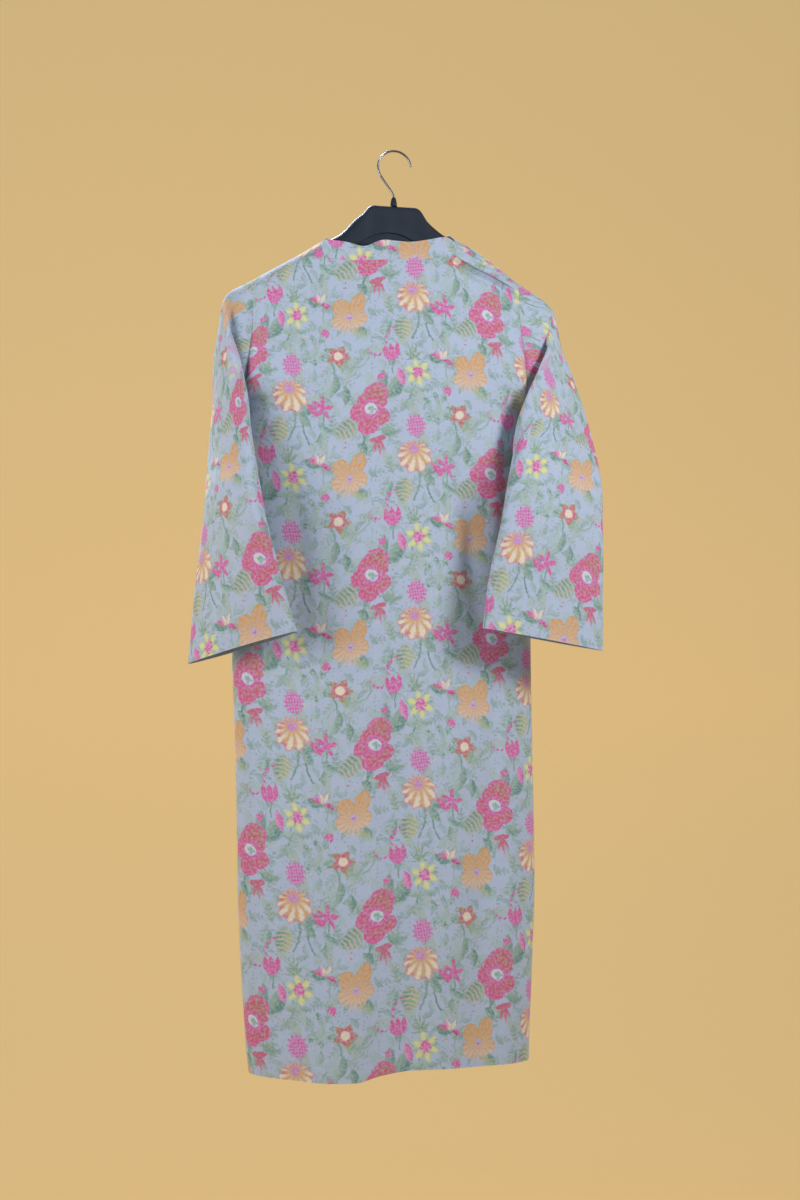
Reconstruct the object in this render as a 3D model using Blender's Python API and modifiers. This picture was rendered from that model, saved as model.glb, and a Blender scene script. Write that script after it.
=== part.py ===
"""A kurta tunic on a moulded suit hanger, hung up by the hanger's hook.

Metres, +Z up.  The origin is the inside top of the hook's curve, where a rail
holds it.  The tunic's back faces -Y, its front +Y, and its left sleeve is at -X.
"""
import math

import bmesh
import bpy
import numpy as np

# ---- Driving sizes -------------------------------------------------------------

WALL = 0.0015               # cotton cloth with its seam turnings, as a stiff wall
SEAM_GAP = 0.0003           # half of the slit left between two sewn pieces
FULLNESS = 2.35             # roundness of the body's oval, 2 is an ellipse

UNDERARM_Z = -0.355         # where the side seams meet the armholes
TOP_CENTRE_X = -0.0112      # the cloth hangs a little to the wearer's left
TOP_HALF = 0.1838           # half the width across the shoulder seams' outer ends
NECK_SHARE = 0.492          # where the neck seam turns up, as a share of the half width
NECK_FLARE = 0.012          # how far it leans out from there to the neck points
NECK_TURN = 0.492           # panel columns up to here end on the low neck seam, and
NECK_POINT = 0.700          # up to here on its climb over the hanger's arm
EDGE_FOOT = 0.012           # depth below the upper edge where the columns start to turn
SHOULDER_RADIUS = 0.0265    # the fold of the cloth over the hanger's arms
ARM_FORWARD = 0.018         # how far the hanger's ends curve to the front
ARM_REACH = 0.2205          # from the hook to the hanger's ends
CLOTH_SEAT = 0.0010         # air between the hanger's arm and the cloth on it
NECK_DIP = 0.0036           # the back neck seam sags between the neck points
NECK_DROP = 0.058           # the front neck is cut this much lower at its middle
NECK_CORNER = 0.014         # and this much where it turns up
NECK_LEAN = 0.020           # and falls this far forward
ARMHOLE_DEPTH = 0.19        # pull of the armhole's curve to front and back
LEFT_ROLL = 0.050           # shoulder seam past the back fold, measured on the arch

SLEEVE_LENGTH = 0.52        # from the shoulder seam to the cuff
SLEEVE_GIRTH = 0.37         # round the upper arm
SLEEVE_AIR = 0.0025         # between a sleeve and the body's side

BAND_BACK = 0.0270          # height of the collar band at the back and the front
BAND_SIDE = 0.0145          # and where it lies on the hanger's arms
BAND_LEAN_BACK = 0.16       # how far it leans in: at the back,
BAND_LEAN_FRONT = 0.30      # at the front,
BAND_LEAN_SIDE = 0.74       # and along the arms
FRONT_LIE = 0.6             # how far it has turned to the arms where the front turns up
SLIT_LENGTH = 0.21          # front neck slit below the band
SLIT_HALF = 0.0018          # half its width at the band

BODY = (                    # ovals of the body, from the hem up
    ("z", "centre_x", "half_width", "half_depth"),
    (-1.240, -0.0054, 0.1895, 0.0570),
    (-1.200, -0.0068, 0.1920, 0.0575),
    (-1.105, -0.0078, 0.1975, 0.0585),
    (-0.990, -0.0085, 0.2020, 0.0590),
    (-0.820, -0.0115, 0.2028, 0.0580),
    (-0.690, -0.0148, 0.2045, 0.0565),
    (-0.500, -0.0150, 0.1990, 0.0545),
    (-0.355, -0.0150, 0.1940, 0.0510),
)

HEM = (                     # height of the hem, across the back and the front
    ("across", "back", "front"),
    (-1.00, -1.2400, -1.2400),
    (-0.75, -1.2435, -1.2405),
    (-0.48, -1.2485, -1.2405),
    (-0.30, -1.2482, -1.2400),
    (-0.13, -1.2405, -1.2390),
    (0.10, -1.2355, -1.2380),
    (0.50, -1.2358, -1.2375),
    (1.00, -1.2370, -1.2370),
)

RIGHT_ROLL = (              # the right shoulder seam, rolled over to the back
    ("x", "roll"),
    (0.078, -0.0040),
    (0.102, -0.0062),
    (0.139, 0.0000),
    (0.173, 0.0080),
)

DRAPE = (                   # soft troughs (-) and ridges (+) of the body's cloth
    ("side", "x", "z", "half_width", "half_length", "depth"),
    (-1, -0.137, -0.700, 0.022, 0.190, -0.0060),
    (-1, -0.100, -1.010, 0.034, 0.240, -0.0050),
    (-1, -0.034, -0.740, 0.018, 0.170, 0.0040),
    (-1, 0.092, -0.480, 0.020, 0.120, -0.0060),
    (-1, 0.126, -0.450, 0.015, 0.100, 0.0040),
    (-1, -0.075, -1.190, 0.040, 0.120, 0.0060),
    (-1, 0.060, -0.980, 0.030, 0.240, 0.0040),
    (-1, 0.110, -1.060, 0.024, 0.200, -0.0050),
    (1, -0.110, -0.760, 0.026, 0.210, -0.0055),
    (1, -0.050, -1.020, 0.030, 0.230, 0.0050),
    (1, 0.045, -0.700, 0.022, 0.180, -0.0045),
    (1, 0.100, -0.990, 0.030, 0.240, 0.0050),
    (1, 0.000, -1.120, 0.026, 0.150, -0.0050),
)

# Sleeves: ovals from the shoulder's end to the cuff, each by its centre, its reach
# to the outer side and its reach to the back.
SLEEVE_COLUMNS = ("x", "y", "z", "out_x", "out_y", "out_z", "back_x", "back_y", "back_z")
SLEEVE_LEFT = (
    SLEEVE_COLUMNS,
    (-0.2220, 0.006, -0.2905, -0.0085, 0.012, 0.0810, -0.0030, -0.043, 0.0000),
    (-0.2275, 0.003, -0.3220, -0.0125, 0.010, 0.0620, -0.0020, -0.052, -0.0040),
    (-0.2300, -0.004, -0.3720, -0.0155, 0.004, 0.0350, 0.0040, -0.062, -0.0060),
    (-0.2280, -0.018, -0.4300, -0.0175, -0.002, 0.0120, 0.0140, -0.068, -0.0040),
    (-0.2235, -0.050, -0.5000, -0.0230, -0.008, 0.0060, 0.0260, -0.064, 0.0000),
    (-0.2195, -0.050, -0.5880, -0.0180, -0.013, 0.0000, 0.0455, -0.060, 0.0060),
    (-0.2115, -0.048, -0.6860, -0.0120, -0.016, -0.0010, 0.0650, -0.052, 0.0200),
)
SLEEVE_RIGHT = (
    SLEEVE_COLUMNS,
    (0.2070, 0.006, -0.2890, 0.0225, 0.012, 0.0820, -0.0040, -0.043, 0.0000),
    (0.2130, -0.002, -0.3220, 0.0315, 0.010, 0.0620, -0.0220, -0.050, -0.0040),
    (0.2140, -0.020, -0.3700, 0.0380, 0.004, 0.0360, -0.0460, -0.048, -0.0060),
    (0.2115, -0.052, -0.4400, 0.0160, -0.030, 0.0100, -0.0695, -0.033, 0.0000),
    (0.1995, -0.080, -0.5300, 0.0080, -0.026, 0.0020, -0.0765, -0.018, 0.0000),
    (0.1888, -0.087, -0.6030, 0.0050, -0.021, 0.0000, -0.0827, -0.013, 0.0040),
    (0.1826, -0.092, -0.6740, 0.0040, -0.019, -0.0010, -0.0840, -0.008, 0.0140),
)
SLEEVE_FOLDS = (            # creases of the sleeves: along (0 armhole, 1 cuff) and round
    ("hand", "along", "round", "to_along", "to_round", "half_width", "depth"),
    (-1, 0.060, 0.400, 0.070, 0.120, 0.011, -0.012),
    (1, 0.110, 0.400, 0.040, 0.110, 0.012, -0.010),
    (-1, 0.070, 0.880, 0.080, 0.640, 0.014, -0.008),
    (1, 0.060, 0.880, 0.090, 0.640, 0.014, -0.008),
)

HANGER = (                  # half of the hanger, from its middle to its end
    ("x", "top", "bottom", "half_thick"),
    (0.0000, -0.0765, -0.1170, 0.0075),
    (0.0280, -0.0765, -0.1197, 0.0078),
    (0.0345, -0.0792, -0.1222, 0.0080),
    (0.0460, -0.0955, -0.1265, 0.0086),
    (0.0675, -0.1146, -0.1390, 0.0102),
    (0.0900, -0.1281, -0.1520, 0.0122),
    (0.1200, -0.1454, -0.1690, 0.0150),
    (0.1600, -0.1683, -0.1930, 0.0180),
    (0.2000, -0.1920, -0.2160, 0.0203),
    (0.2130, -0.2008, -0.2230, 0.0200),
    (0.2205, -0.2095, -0.2195, 0.0130),
)
HANGER_EDGE = 4.0           # squareness of the underside of the hanger's section

WIRE_RADIUS = 0.0015
HOOK_RADIUS = 0.0230        # of the wire's centre line
HOOK_TIP = math.radians(8)
HOOK_LEAVE = math.radians(206)
STEM_X = -0.0012            # the stem's place on the hanger
SOCKET_TOP = -0.0640
SOCKET_RADIUS = 0.0050
SOCKET_BORE = 0.0019

SHOULDER_COLUMNS = 7        # columns of a panel from the side to the neck point,
CLIMB_COLUMNS = 7           # along the neck seam's climb over the shoulder,
NECK_COLUMNS = 4            # and across half of the neck
TUBE_ROWS = 15
YOKE_ROWS = 9
BACK_ARCH_ROWS = 7
FRONT_ARCH_ROWS = 11
SLEEVE_AROUND = 28
BAND_ROWS = 3
HANGER_AROUND = 16
HANGER_STEPS = 2            # sections from one row of the hanger's table to the next


# ---- Tables and curves ---------------------------------------------------------

def column(table, name):
    """One named column of a table, as an array."""
    place = table[0].index(name)
    return np.array([row[place] for row in table[1:]], dtype=float)


def ease(start, end, slope_start, slope_end, share):
    """Cubic from start to end with the slopes given, share running 0 to 1."""
    square = share * share
    cube = square * share
    return ((2 * cube - 3 * square + 1) * start + (cube - 2 * square + share) * slope_start
            + (3 * square - 2 * cube) * end + (cube - square) * slope_end)


def steady_slopes(knots, values):
    """Slopes at the rows that let the curve neither overshoot nor ripple."""
    secants = np.diff(values) / np.diff(knots)
    before, after = secants[:-1], secants[1:]
    agree = before * after > 0
    inner = np.where(agree, 2 * before * after / np.where(agree, before + after, 1.0), 0.0)
    return np.concatenate([secants[:1], inner, secants[-1:]])


def through(table, key, name, at):
    """A column read along a smooth curve through the table's rows."""
    knots = column(table, key)
    values = column(table, name)
    slopes = steady_slopes(knots, values)
    at = np.clip(at, knots[0], knots[-1])
    row = np.clip(np.searchsorted(knots, at, side="right") - 1, 0, len(knots) - 2)
    step = knots[row + 1] - knots[row]
    return ease(values[row], values[row + 1], slopes[row] * step, slopes[row + 1] * step,
                (at - knots[row]) / step)


def smooth(value, low, high):
    """0 below low, 1 above high, and a soft step between."""
    share = np.clip((value - low) / (high - low), 0.0, 1.0)
    return share * share * (3 - 2 * share)


# ---- The body's cloth ----------------------------------------------------------

def ridge_z(x):
    """Top of the cloth where it lies on the hanger's arms."""
    return through(HANGER, "x", "top", np.abs(x)) + CLOTH_SEAT + WALL


def arch_base_z(across):
    """Height where the cloth starts to fold over the arm; the neck seam between the arms."""
    shoulder = ridge_z(TOP_CENTRE_X + TOP_HALF * across) - SHOULDER_RADIUS
    left = ridge_z(TOP_CENTRE_X - TOP_HALF * NECK_SHARE) - SHOULDER_RADIUS
    right = ridge_z(TOP_CENTRE_X + TOP_HALF * NECK_SHARE) - SHOULDER_RADIUS
    share = across / NECK_SHARE
    neck = (left + right) / 2 + (right - left) / 2 * share - NECK_DIP * (1 - share * share)
    return np.where(np.abs(across) < NECK_SHARE, neck, shoulder)


def arch_point(across, roll):
    """A point on the fold over the shoulders: roll 0 is its foot at the back, and the
    front foot is half a turn on."""
    x = TOP_CENTRE_X + TOP_HALF * across
    base = arch_base_z(across)
    middle = ARM_FORWARD * (x / ARM_REACH) ** 2
    half_turn = math.pi * SHOULDER_RADIUS
    turn = np.clip(roll, 0.0, half_turn) / SHOULDER_RADIUS
    below = np.minimum(roll, 0.0) - np.maximum(roll - half_turn, 0.0)
    inside = np.clip(1 - (across / NECK_SHARE) ** 2, 0.0, 1.0)
    lean = NECK_LEAN * inside * smooth(roll - half_turn, 0.0, NECK_DROP)
    y = middle - SHOULDER_RADIUS * np.cos(turn) + lean
    z = base + SHOULDER_RADIUS * np.sin(turn) + below
    return np.stack([x + 0 * roll, y, z], axis=-1)


def edge_across(side, across):
    """Where a panel's column ends on its upper edge: those by the neck point end on the
    neck seam's climb, except on the right half of the back, which has none."""
    top = NECK_SHARE + NECK_FLARE
    flare = NECK_FLARE * smooth(neck_climb(across), 0.0, 0.3)
    share = np.interp(np.abs(across), (0, NECK_TURN, NECK_POINT, 1),
                      (0, NECK_SHARE, NECK_SHARE, 1))
    share = np.where(np.abs(across) < NECK_POINT, share + flare,
                     top + (1 - top) * (np.abs(across) - NECK_POINT) / (1 - NECK_POINT))
    plain = np.interp(across, (0, NECK_TURN, 1), (0, top, 1))
    return np.where((side < 0) & (across > 0), plain, np.sign(across) * share)


def neck_climb(across):
    """0 for a column that ends on the low neck seam, 1 from the neck point outward."""
    return np.clip((np.abs(across) - NECK_TURN) / (NECK_POINT - NECK_TURN), 0.0, 1.0)


def seam_roll(across):
    """Where the shoulder seams run on the arch."""
    x = TOP_CENTRE_X + TOP_HALF * across
    return np.where(across < 0, LEFT_ROLL, through(RIGHT_ROLL, "x", "roll", x))


def back_top_roll(across):
    """Upper edge of the back: shoulder seams, and the neck seam between them."""
    low = through(RIGHT_ROLL, "x", "roll", 0.078) * smooth(across, 0.17, NECK_TURN)
    climb = np.where(across < 0, neck_climb(across), across > NECK_TURN)
    return low + (seam_roll(edge_across(-1, across)) - low) * climb


def front_top_roll(across):
    """Upper edge of the front: shoulder seams, and the lower neck between them."""
    share = np.clip(np.abs(across) / NECK_TURN, 0.0, 1.0)
    drop = NECK_CORNER + (NECK_DROP - NECK_CORNER) * (1 - share ** 2.4)
    low = math.pi * SHOULDER_RADIUS + drop
    return low + (seam_roll(edge_across(1, across)) - low) * neck_climb(across)


def drape(side, x, z):
    """How far the soft folds push the cloth out at a point of the body."""
    push = np.zeros(np.broadcast(x, z).shape)
    for fold_side, fold_x, fold_z, half_width, half_length, depth in DRAPE[1:]:
        if fold_side == side:
            reach = ((x - fold_x) / half_width) ** 2 + ((z - fold_z) / half_length) ** 2
            push = push + depth * np.exp(-reach)
    return push


def panel_point(side, across, up):
    """A point of the back (side -1) or the front (side 1).

    across runs from -1 at the left side seam or armhole to 1 at the right one.
    up runs 0 to 1 from the hem to the underarms, to 2 at the foot of the fold over
    the shoulders, and to 3 at the shoulder and neck seams.
    """
    across, up = np.broadcast_arrays(np.asarray(across, float), np.asarray(up, float))
    oval = (1 - np.abs(across) ** FULLNESS) ** (1 / FULLNESS)
    hem = through(HEM, "across", "back" if side < 0 else "front", across)

    tube_z = hem + (UNDERARM_Z - hem) * np.clip(up, 0.0, 1.0)
    tube = np.stack([
        through(BODY, "z", "centre_x", tube_z) + through(BODY, "z", "half_width", tube_z) * across,
        side * through(BODY, "z", "half_depth", tube_z) * oval,
        tube_z], axis=-1)

    if side < 0:
        edge = back_top_roll(across) - SEAM_GAP
        foot = np.minimum(edge, 0.0) - EDGE_FOOT
    else:
        edge = front_top_roll(across) + SEAM_GAP
        foot = np.maximum(edge, math.pi * SHOULDER_RADIUS) + EDGE_FOOT
    high = arch_point(across, foot)
    rise = high[..., 2] - UNDERARM_Z
    hole = np.abs(across) ** 6
    start = np.stack([0 * hole, side * ARMHOLE_DEPTH * hole, rise * (1 - 0.6 * hole)], axis=-1)
    end = np.stack([0 * hole, 0 * hole, rise], axis=-1)
    yoke_share = np.clip(up - 1, 0.0, 1.0)[..., None]
    yoke = ease(tube, high, start, end, yoke_share)

    arch_share = np.clip(up - 2, 0.0, 1.0)
    toward_edge = across + (edge_across(side, across) - across) * arch_share
    arch = arch_point(toward_edge, foot + (edge - foot) * arch_share)

    point = np.where((up <= 1)[..., None], tube, np.where((up <= 2)[..., None], yoke, arch))
    fade = smooth(oval, 0.0, 0.45) * (1 - smooth(up, 1.55, 2.0))
    point[..., 1] += side * (SEAM_GAP + fade * drape(side, point[..., 0], point[..., 2]))
    return point


# ---- The sleeves ---------------------------------------------------------------

def armhole_loop(hand, count):
    """Points round an armhole: from the underarm up the back, over, and down the front."""
    ups = np.linspace(1.0, 3.0, 121)
    back = panel_point(-1, hand, ups)
    front = panel_point(1, hand, ups)[::-1]
    loop = np.concatenate([back, front])
    top = int(np.argmax(loop[:, 2]))
    halves = []
    for part in (loop[:top + 1], loop[top:]):
        walked = np.concatenate([[0], np.cumsum(np.linalg.norm(np.diff(part, axis=0), axis=1))])
        at = np.linspace(0, walked[-1], count // 2 + 1)[:-1]
        halves.append(np.stack([np.interp(at, walked, part[:, k]) for k in range(3)], axis=-1))
    return np.concatenate(halves)


def sleeve_ovals(table, count):
    """The table's ovals as rings of points, in the armhole loop's order."""
    centre = np.stack([column(table, k) for k in "xyz"], axis=-1)
    out = np.stack([column(table, "out_" + k) for k in "xyz"], axis=-1)
    back = np.stack([column(table, "back_" + k) for k in "xyz"], axis=-1)
    angle = np.arange(count)[None, :, None] * 2 * math.pi / count
    return centre[:, None] - out[:, None] * np.cos(angle) + back[:, None] * np.sin(angle)


def sleeve_fold(hand, along, around):
    """How far the creases push the sleeve's cloth out."""
    push = np.zeros(np.broadcast(along, around).shape)
    for fold_hand, low, first, high, last, half_width, depth in SLEEVE_FOLDS[1:]:
        if fold_hand == hand:
            start = np.array([low * SLEEVE_LENGTH, first * SLEEVE_GIRTH])
            run = np.array([high * SLEEVE_LENGTH, last * SLEEVE_GIRTH]) - start
            a = along * SLEEVE_LENGTH - start[0]
            b = around * SLEEVE_GIRTH - start[1]
            share = np.clip((a * run[0] + b * run[1]) / (run @ run), 0.0, 1.0)
            away = np.hypot(a - share * run[0], b - share * run[1])
            push = push + depth * np.exp(-(away / half_width) ** 2) * np.sin(math.pi * (
                0.15 + 0.7 * share))
    return push


def clear_of_body(points):
    """The sleeve's points, moved out of the body's oval with a little air."""
    x, y, z = points[..., 0], points[..., 1], points[..., 2]
    air = 2 * SEAM_GAP + SLEEVE_AIR * smooth(-z, -UNDERARM_Z, -UNDERARM_Z + 0.03)
    centre = through(BODY, "z", "centre_x", z)
    wide = through(BODY, "z", "half_width", z) + air
    deep = through(BODY, "z", "half_depth", z) + air
    reach = (np.abs((x - centre) / wide) ** FULLNESS + np.abs(y / deep) ** FULLNESS)
    reach = np.where(z < UNDERARM_Z, reach ** (1 / FULLNESS), 1.0)
    grow = 1 / np.clip(reach, 0.05, 1.0)
    return np.stack([centre + (x - centre) * grow, y * grow, z], axis=-1)


def sleeve_grid(hand, table, count, shares):
    """Rings of the sleeve from the armhole, share 0, to the cuff, share 1."""
    first = armhole_loop(hand, count)
    first[:, 0] += hand * 2 * SEAM_GAP
    rings = np.concatenate([first[None], sleeve_ovals(table, count)])
    knots = np.concatenate([[0], np.cumsum(np.linalg.norm(
        np.diff(rings, axis=0), axis=2).mean(axis=1))])
    knots /= knots[-1]
    slopes = np.gradient(rings, knots, axis=0)
    row = np.clip(np.searchsorted(knots, shares, side="right") - 1, 0, len(knots) - 2)
    step = (knots[row + 1] - knots[row])[:, None, None]
    share = ((shares - knots[row]) / (knots[row + 1] - knots[row]))[:, None, None]
    grid = ease(rings[row], rings[row + 1], slopes[row] * step, slopes[row + 1] * step, share)
    around = np.arange(count)[None, :] / count
    push = sleeve_fold(hand, shares[:, None], around) * smooth(shares, 0.0, 0.03)[:, None]
    return clear_of_body(grid + outward(grid, hand) * push[..., None])


def outward(grid, hand):
    """Unit vectors square to a sleeve's rings of points, pointing out of the tube."""
    down = np.gradient(grid, axis=0)
    round_way = np.roll(grid, -1, axis=1) - np.roll(grid, 1, axis=1)
    way = np.cross(down, round_way) * hand
    return way / np.linalg.norm(way, axis=2)[..., None]


# ---- The collar band -----------------------------------------------------------

def neck_loop():
    """The neck seam at the panels' own columns, from the front slit round by the left
    and the back to the slit again: its points, and how far the front has turned to the
    arms at each."""
    across = panel_columns()
    left = across[(across >= -NECK_POINT - 1e-9) & (across <= 1e-9)][::-1]
    back = across[(across >= -NECK_POINT - 1e-9) & (across <= NECK_TURN + 1e-9)]
    right = -left[::-1]
    front_left = arch_point(edge_across(1, left), front_top_roll(left))
    back_seam = arch_point(edge_across(-1, back), back_top_roll(back))
    front_right = arch_point(edge_across(1, right), front_top_roll(right))
    for front in (front_left, front_right):
        front[:, 1] += SEAM_GAP
    back_seam[:, 1] -= SEAM_GAP
    front_left[0, 0] -= SLIT_HALF
    front_right[-1, 0] += SLIT_HALF
    turned = FRONT_LIE * smooth(np.abs(left), 0.25, NECK_SHARE)
    points = np.concatenate([front_left[:-1], back_seam, front_right[1:]])
    return points, np.concatenate([turned[:-1], 0 * back, turned[::-1][1:]])


def band_grid(rows):
    """The stand collar: rows of points from the neck seam to its upper edge."""
    seam, turned = neck_loop()
    out = seam - seam.mean(axis=0)
    out[:, 2] = 0
    out /= np.linalg.norm(out, axis=1)[:, None]
    in_front = out[:, 1] > 0
    turned = turned * in_front
    out[:, 0] *= in_front
    base = arch_base_z((seam[:, 0] - TOP_CENTRE_X) / TOP_HALF)
    climb = (seam[:, 2] - base) / SHOULDER_RADIUS
    lie = np.maximum(turned, smooth(climb, 0.25, 1.05))
    side = np.stack([np.sign(seam[:, 0]), 0 * lie, 0 * lie], axis=-1)
    out = out + (side - out) * lie[:, None]
    lean = np.where(in_front, BAND_LEAN_FRONT, BAND_LEAN_BACK)
    lean = lean + (BAND_LEAN_SIDE - lean) * lie
    rise = -out * lean[:, None]
    rise[:, 2] = np.sqrt(1 - lean ** 2)
    low = np.maximum(turned, smooth(climb, -0.1, 0.55))
    height = BAND_BACK + (BAND_SIDE - BAND_BACK) * low
    shares = np.linspace(0, 1, rows + 1)[:, None, None]
    start = seam + rise * 2 * SEAM_GAP - side * SEAM_GAP * lie[:, None]
    return start[None] + rise[None] * height[None, :, None] * shares


# ---- Building solids -----------------------------------------------------------

def material(name, colour, roughness, metallic=0.0):
    """A plain material in the piece's colour."""
    made = bpy.data.materials.new(name)
    made.use_nodes = True
    shader = made.node_tree.nodes["Principled BSDF"]
    shader.inputs["Base Color"].default_value = (*colour, 1.0)
    shader.inputs["Roughness"].default_value = roughness
    shader.inputs["Metallic"].default_value = metallic
    return made


def finished(name, mesh, look, collection):
    """An object of this mesh, in the part's collection and with its material."""
    thing = bpy.data.objects.new(name, mesh)
    mesh.materials.append(look)
    mesh.shade_smooth()
    mesh.set_sharp_from_angle(angle=math.radians(40))
    collection.objects.link(thing)
    return thing


def cloth_sheet(name, points, look, collection, closed=False, slit=None):
    """A grid moved onto rows of points, with the wall made on its inner side.

    closed joins the last column to the first.  slit is a column and the first row
    from which the sheet is parted there, with half its width at each row.
    """
    rows, columns = points.shape[:2]
    if closed:
        points = np.concatenate([points, points[:, :1]], axis=1)
        columns += 1
    shape = bmesh.new()
    bmesh.ops.create_grid(shape, x_segments=columns - 1, y_segments=rows - 1, size=1.0)
    shape.verts.ensure_lookup_table()
    for row in range(rows):
        for place in range(columns):
            shape.verts[row * columns + place].co = points[row, place]
    if slit:
        part_sheet(shape, columns, rows, *slit)
    if closed:
        bmesh.ops.remove_doubles(shape, verts=shape.verts, dist=0.00002)
    mesh = bpy.data.meshes.new(name)
    shape.to_mesh(mesh)
    shape.free()
    thing = finished(name, mesh, look, collection)
    wall = thing.modifiers.new("wall", "SOLIDIFY")
    wall.thickness = WALL
    wall.offset = -1.0
    wall.use_even_offset = name != "collar_band"
    return thing


def part_sheet(shape, columns, rows, place, first_row, half_width):
    """Open a slit up a column of the grid, from first_row to the top."""
    shape.verts.ensure_lookup_table()
    line = [shape.verts[row * columns + place] for row in range(first_row, rows)]
    edges = [edge for low, high in zip(line, line[1:]) for edge in low.link_edges
             if edge.other_vert(low) is high]
    bmesh.ops.split_edges(shape, edges=edges)
    centre = {tuple(vert.co) for vert in line}
    widths = {tuple(vert.co): width for vert, width in zip(line, half_width)}
    for vert in [v for v in shape.verts if tuple(v.co) in centre]:
        middle = sum(face.calc_center_median().x for face in vert.link_faces)
        toward = middle / len(vert.link_faces) - vert.co.x
        if len(vert.link_faces) <= 2:
            vert.co.x += math.copysign(widths[tuple(vert.co)], toward)


def hanger_rings():
    """Rounded sections of the hanger, from its left end to its right end."""
    rows = column(HANGER, "x")
    places = np.arange((len(rows) - 1) * HANGER_STEPS + 1) / HANGER_STEPS
    half = np.interp(places, np.arange(len(rows)), rows)
    x = np.concatenate([-half[:0:-1], half])
    top = through(HANGER, "x", "top", np.abs(x))
    bottom = through(HANGER, "x", "bottom", np.abs(x))
    half_thick = through(HANGER, "x", "half_thick", np.abs(x))
    middle_y = ARM_FORWARD * (x / ARM_REACH) ** 2
    rings = []
    for k in range(len(x)):
        ring = []
        for step in range(HANGER_AROUND):
            angle = 2 * math.pi * step / HANGER_AROUND
            across, up = math.cos(angle), math.sin(angle)
            crown = min(half_thick[k], 0.85 * (top[k] - bottom[k]))
            waist = top[k] - crown
            edge = 2.0 if up > 0 else HANGER_EDGE
            size = (abs(across) ** edge + abs(up) ** edge) ** (-1 / edge)
            tall = crown if up > 0 else waist - bottom[k]
            ring.append((x[k], middle_y[k] + half_thick[k] * across * size,
                         waist + tall * up * size))
        rings.append(ring)
    return rings


def hanger_body(look, collection):
    """The moulded hanger: a loft between its unlike sections."""
    shape = bmesh.new()
    rings = [[shape.verts.new(point) for point in ring] for ring in hanger_rings()]
    for one, two in zip(rings, rings[1:]):
        for k in range(HANGER_AROUND):
            after = (k + 1) % HANGER_AROUND
            shape.faces.new((one[k], one[after], two[after], two[k]))
    shape.faces.new(rings[0][::-1])
    shape.faces.new(rings[-1])
    bmesh.ops.recalc_face_normals(shape, faces=shape.faces)
    mesh = bpy.data.meshes.new("hanger_body")
    shape.to_mesh(mesh)
    shape.free()
    return finished("hanger_body", mesh, look, collection)


def hook_route():
    """The wire's centre line, from its tip over the rail and down into the hanger."""
    centre_z = WIRE_RADIUS - HOOK_RADIUS
    angles = np.linspace(HOOK_TIP, HOOK_LEAVE, 26)
    route = [(HOOK_RADIUS * math.cos(a), 0.0, centre_z + HOOK_RADIUS * math.sin(a)) for a in angles]
    leave = np.array(route[-1])
    heading = np.array([-math.sin(HOOK_LEAVE), 0.0, math.cos(HOOK_LEAVE)])
    foot = np.array([STEM_X, 0.0, SOCKET_TOP + 0.001])
    down = np.array([0.0, 0.0, -1.0])
    length = np.linalg.norm(foot - leave)
    for share in np.linspace(0, 1, 9)[1:]:
        route.append(tuple(ease(leave, foot, heading * length, down * length * 0.55, share)))
    route.append((STEM_X, 0.0, HANGER[1][1] + 2 * SEAM_GAP))
    return route


def hook(look, collection):
    """The sprung wire hook: a bevelled curve."""
    wire = bpy.data.curves.new("hanger_hook", "CURVE")
    wire.dimensions = "3D"
    spline = wire.splines.new("POLY")
    route = hook_route()
    spline.points.add(len(route) - 1)
    for point, place in zip(spline.points, route):
        point.co = (*place, 1.0)
    wire.bevel_depth = WIRE_RADIUS
    wire.bevel_resolution = 3
    wire.use_fill_caps = True
    wire.materials.append(look)
    thing = bpy.data.objects.new("hanger_hook", wire)
    collection.objects.link(thing)
    return thing


def socket(look, collection):
    """The bullet-shaped socket round the stem: a turned profile."""
    foot = HANGER[1][1] + SEAM_GAP
    height = SOCKET_TOP - foot
    profile = [(SOCKET_BORE, SOCKET_TOP), (SOCKET_BORE + 0.0006, SOCKET_TOP)]
    for share in (0.15, 0.35, 0.6, 1.0):
        reach = SOCKET_BORE + 0.0006 + (SOCKET_RADIUS - SOCKET_BORE - 0.0006) * share ** 0.6
        profile.append((reach, SOCKET_TOP - height * share))
    profile += [(SOCKET_BORE, foot)]
    mesh = bpy.data.meshes.new("hook_socket")
    count = len(profile)
    mesh.from_pydata([(x, 0, z) for x, z in profile],
                     [(k, (k + 1) % count) for k in range(count)], [])
    thing = finished("hook_socket", mesh, look, collection)
    thing.location.x = STEM_X
    turn = thing.modifiers.new("turn", "SCREW")
    turn.axis = "Z"
    turn.steps = 20
    turn.render_steps = 20
    turn.use_merge_vertices = True
    turn.merge_threshold = 0.00002
    return thing


# ---- The whole part ------------------------------------------------------------

def panel_columns():
    """Columns across a panel, closer at the sides and where the neck seam climbs."""
    side_angle = np.linspace(math.asin(NECK_POINT), math.pi / 2, SHOULDER_COLUMNS + 1)
    right = np.concatenate([
        np.linspace(0, NECK_TURN, NECK_COLUMNS + 1),
        np.linspace(NECK_TURN, NECK_POINT, CLIMB_COLUMNS + 1)[1:],
        np.sin(side_angle)[1:]])
    return np.concatenate([-right[:0:-1], right])


def panel_rows(arch_rows):
    """Rows of a panel: hem to underarm, up to the shoulders, and over the arch."""
    tube = np.linspace(0, 1, TUBE_ROWS + 1)
    yoke = 1 + np.linspace(0, 1, YOKE_ROWS + 1)[1:]
    arch = 2 + np.linspace(0, 1, arch_rows + 1)[1:]
    return np.concatenate([tube, yoke, arch])


def sleeve_rows():
    """Rows of a sleeve, close together at the armhole."""
    return np.concatenate([np.linspace(0, 0.18, 9), np.linspace(0.18, 1, 14)[1:]])


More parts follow.
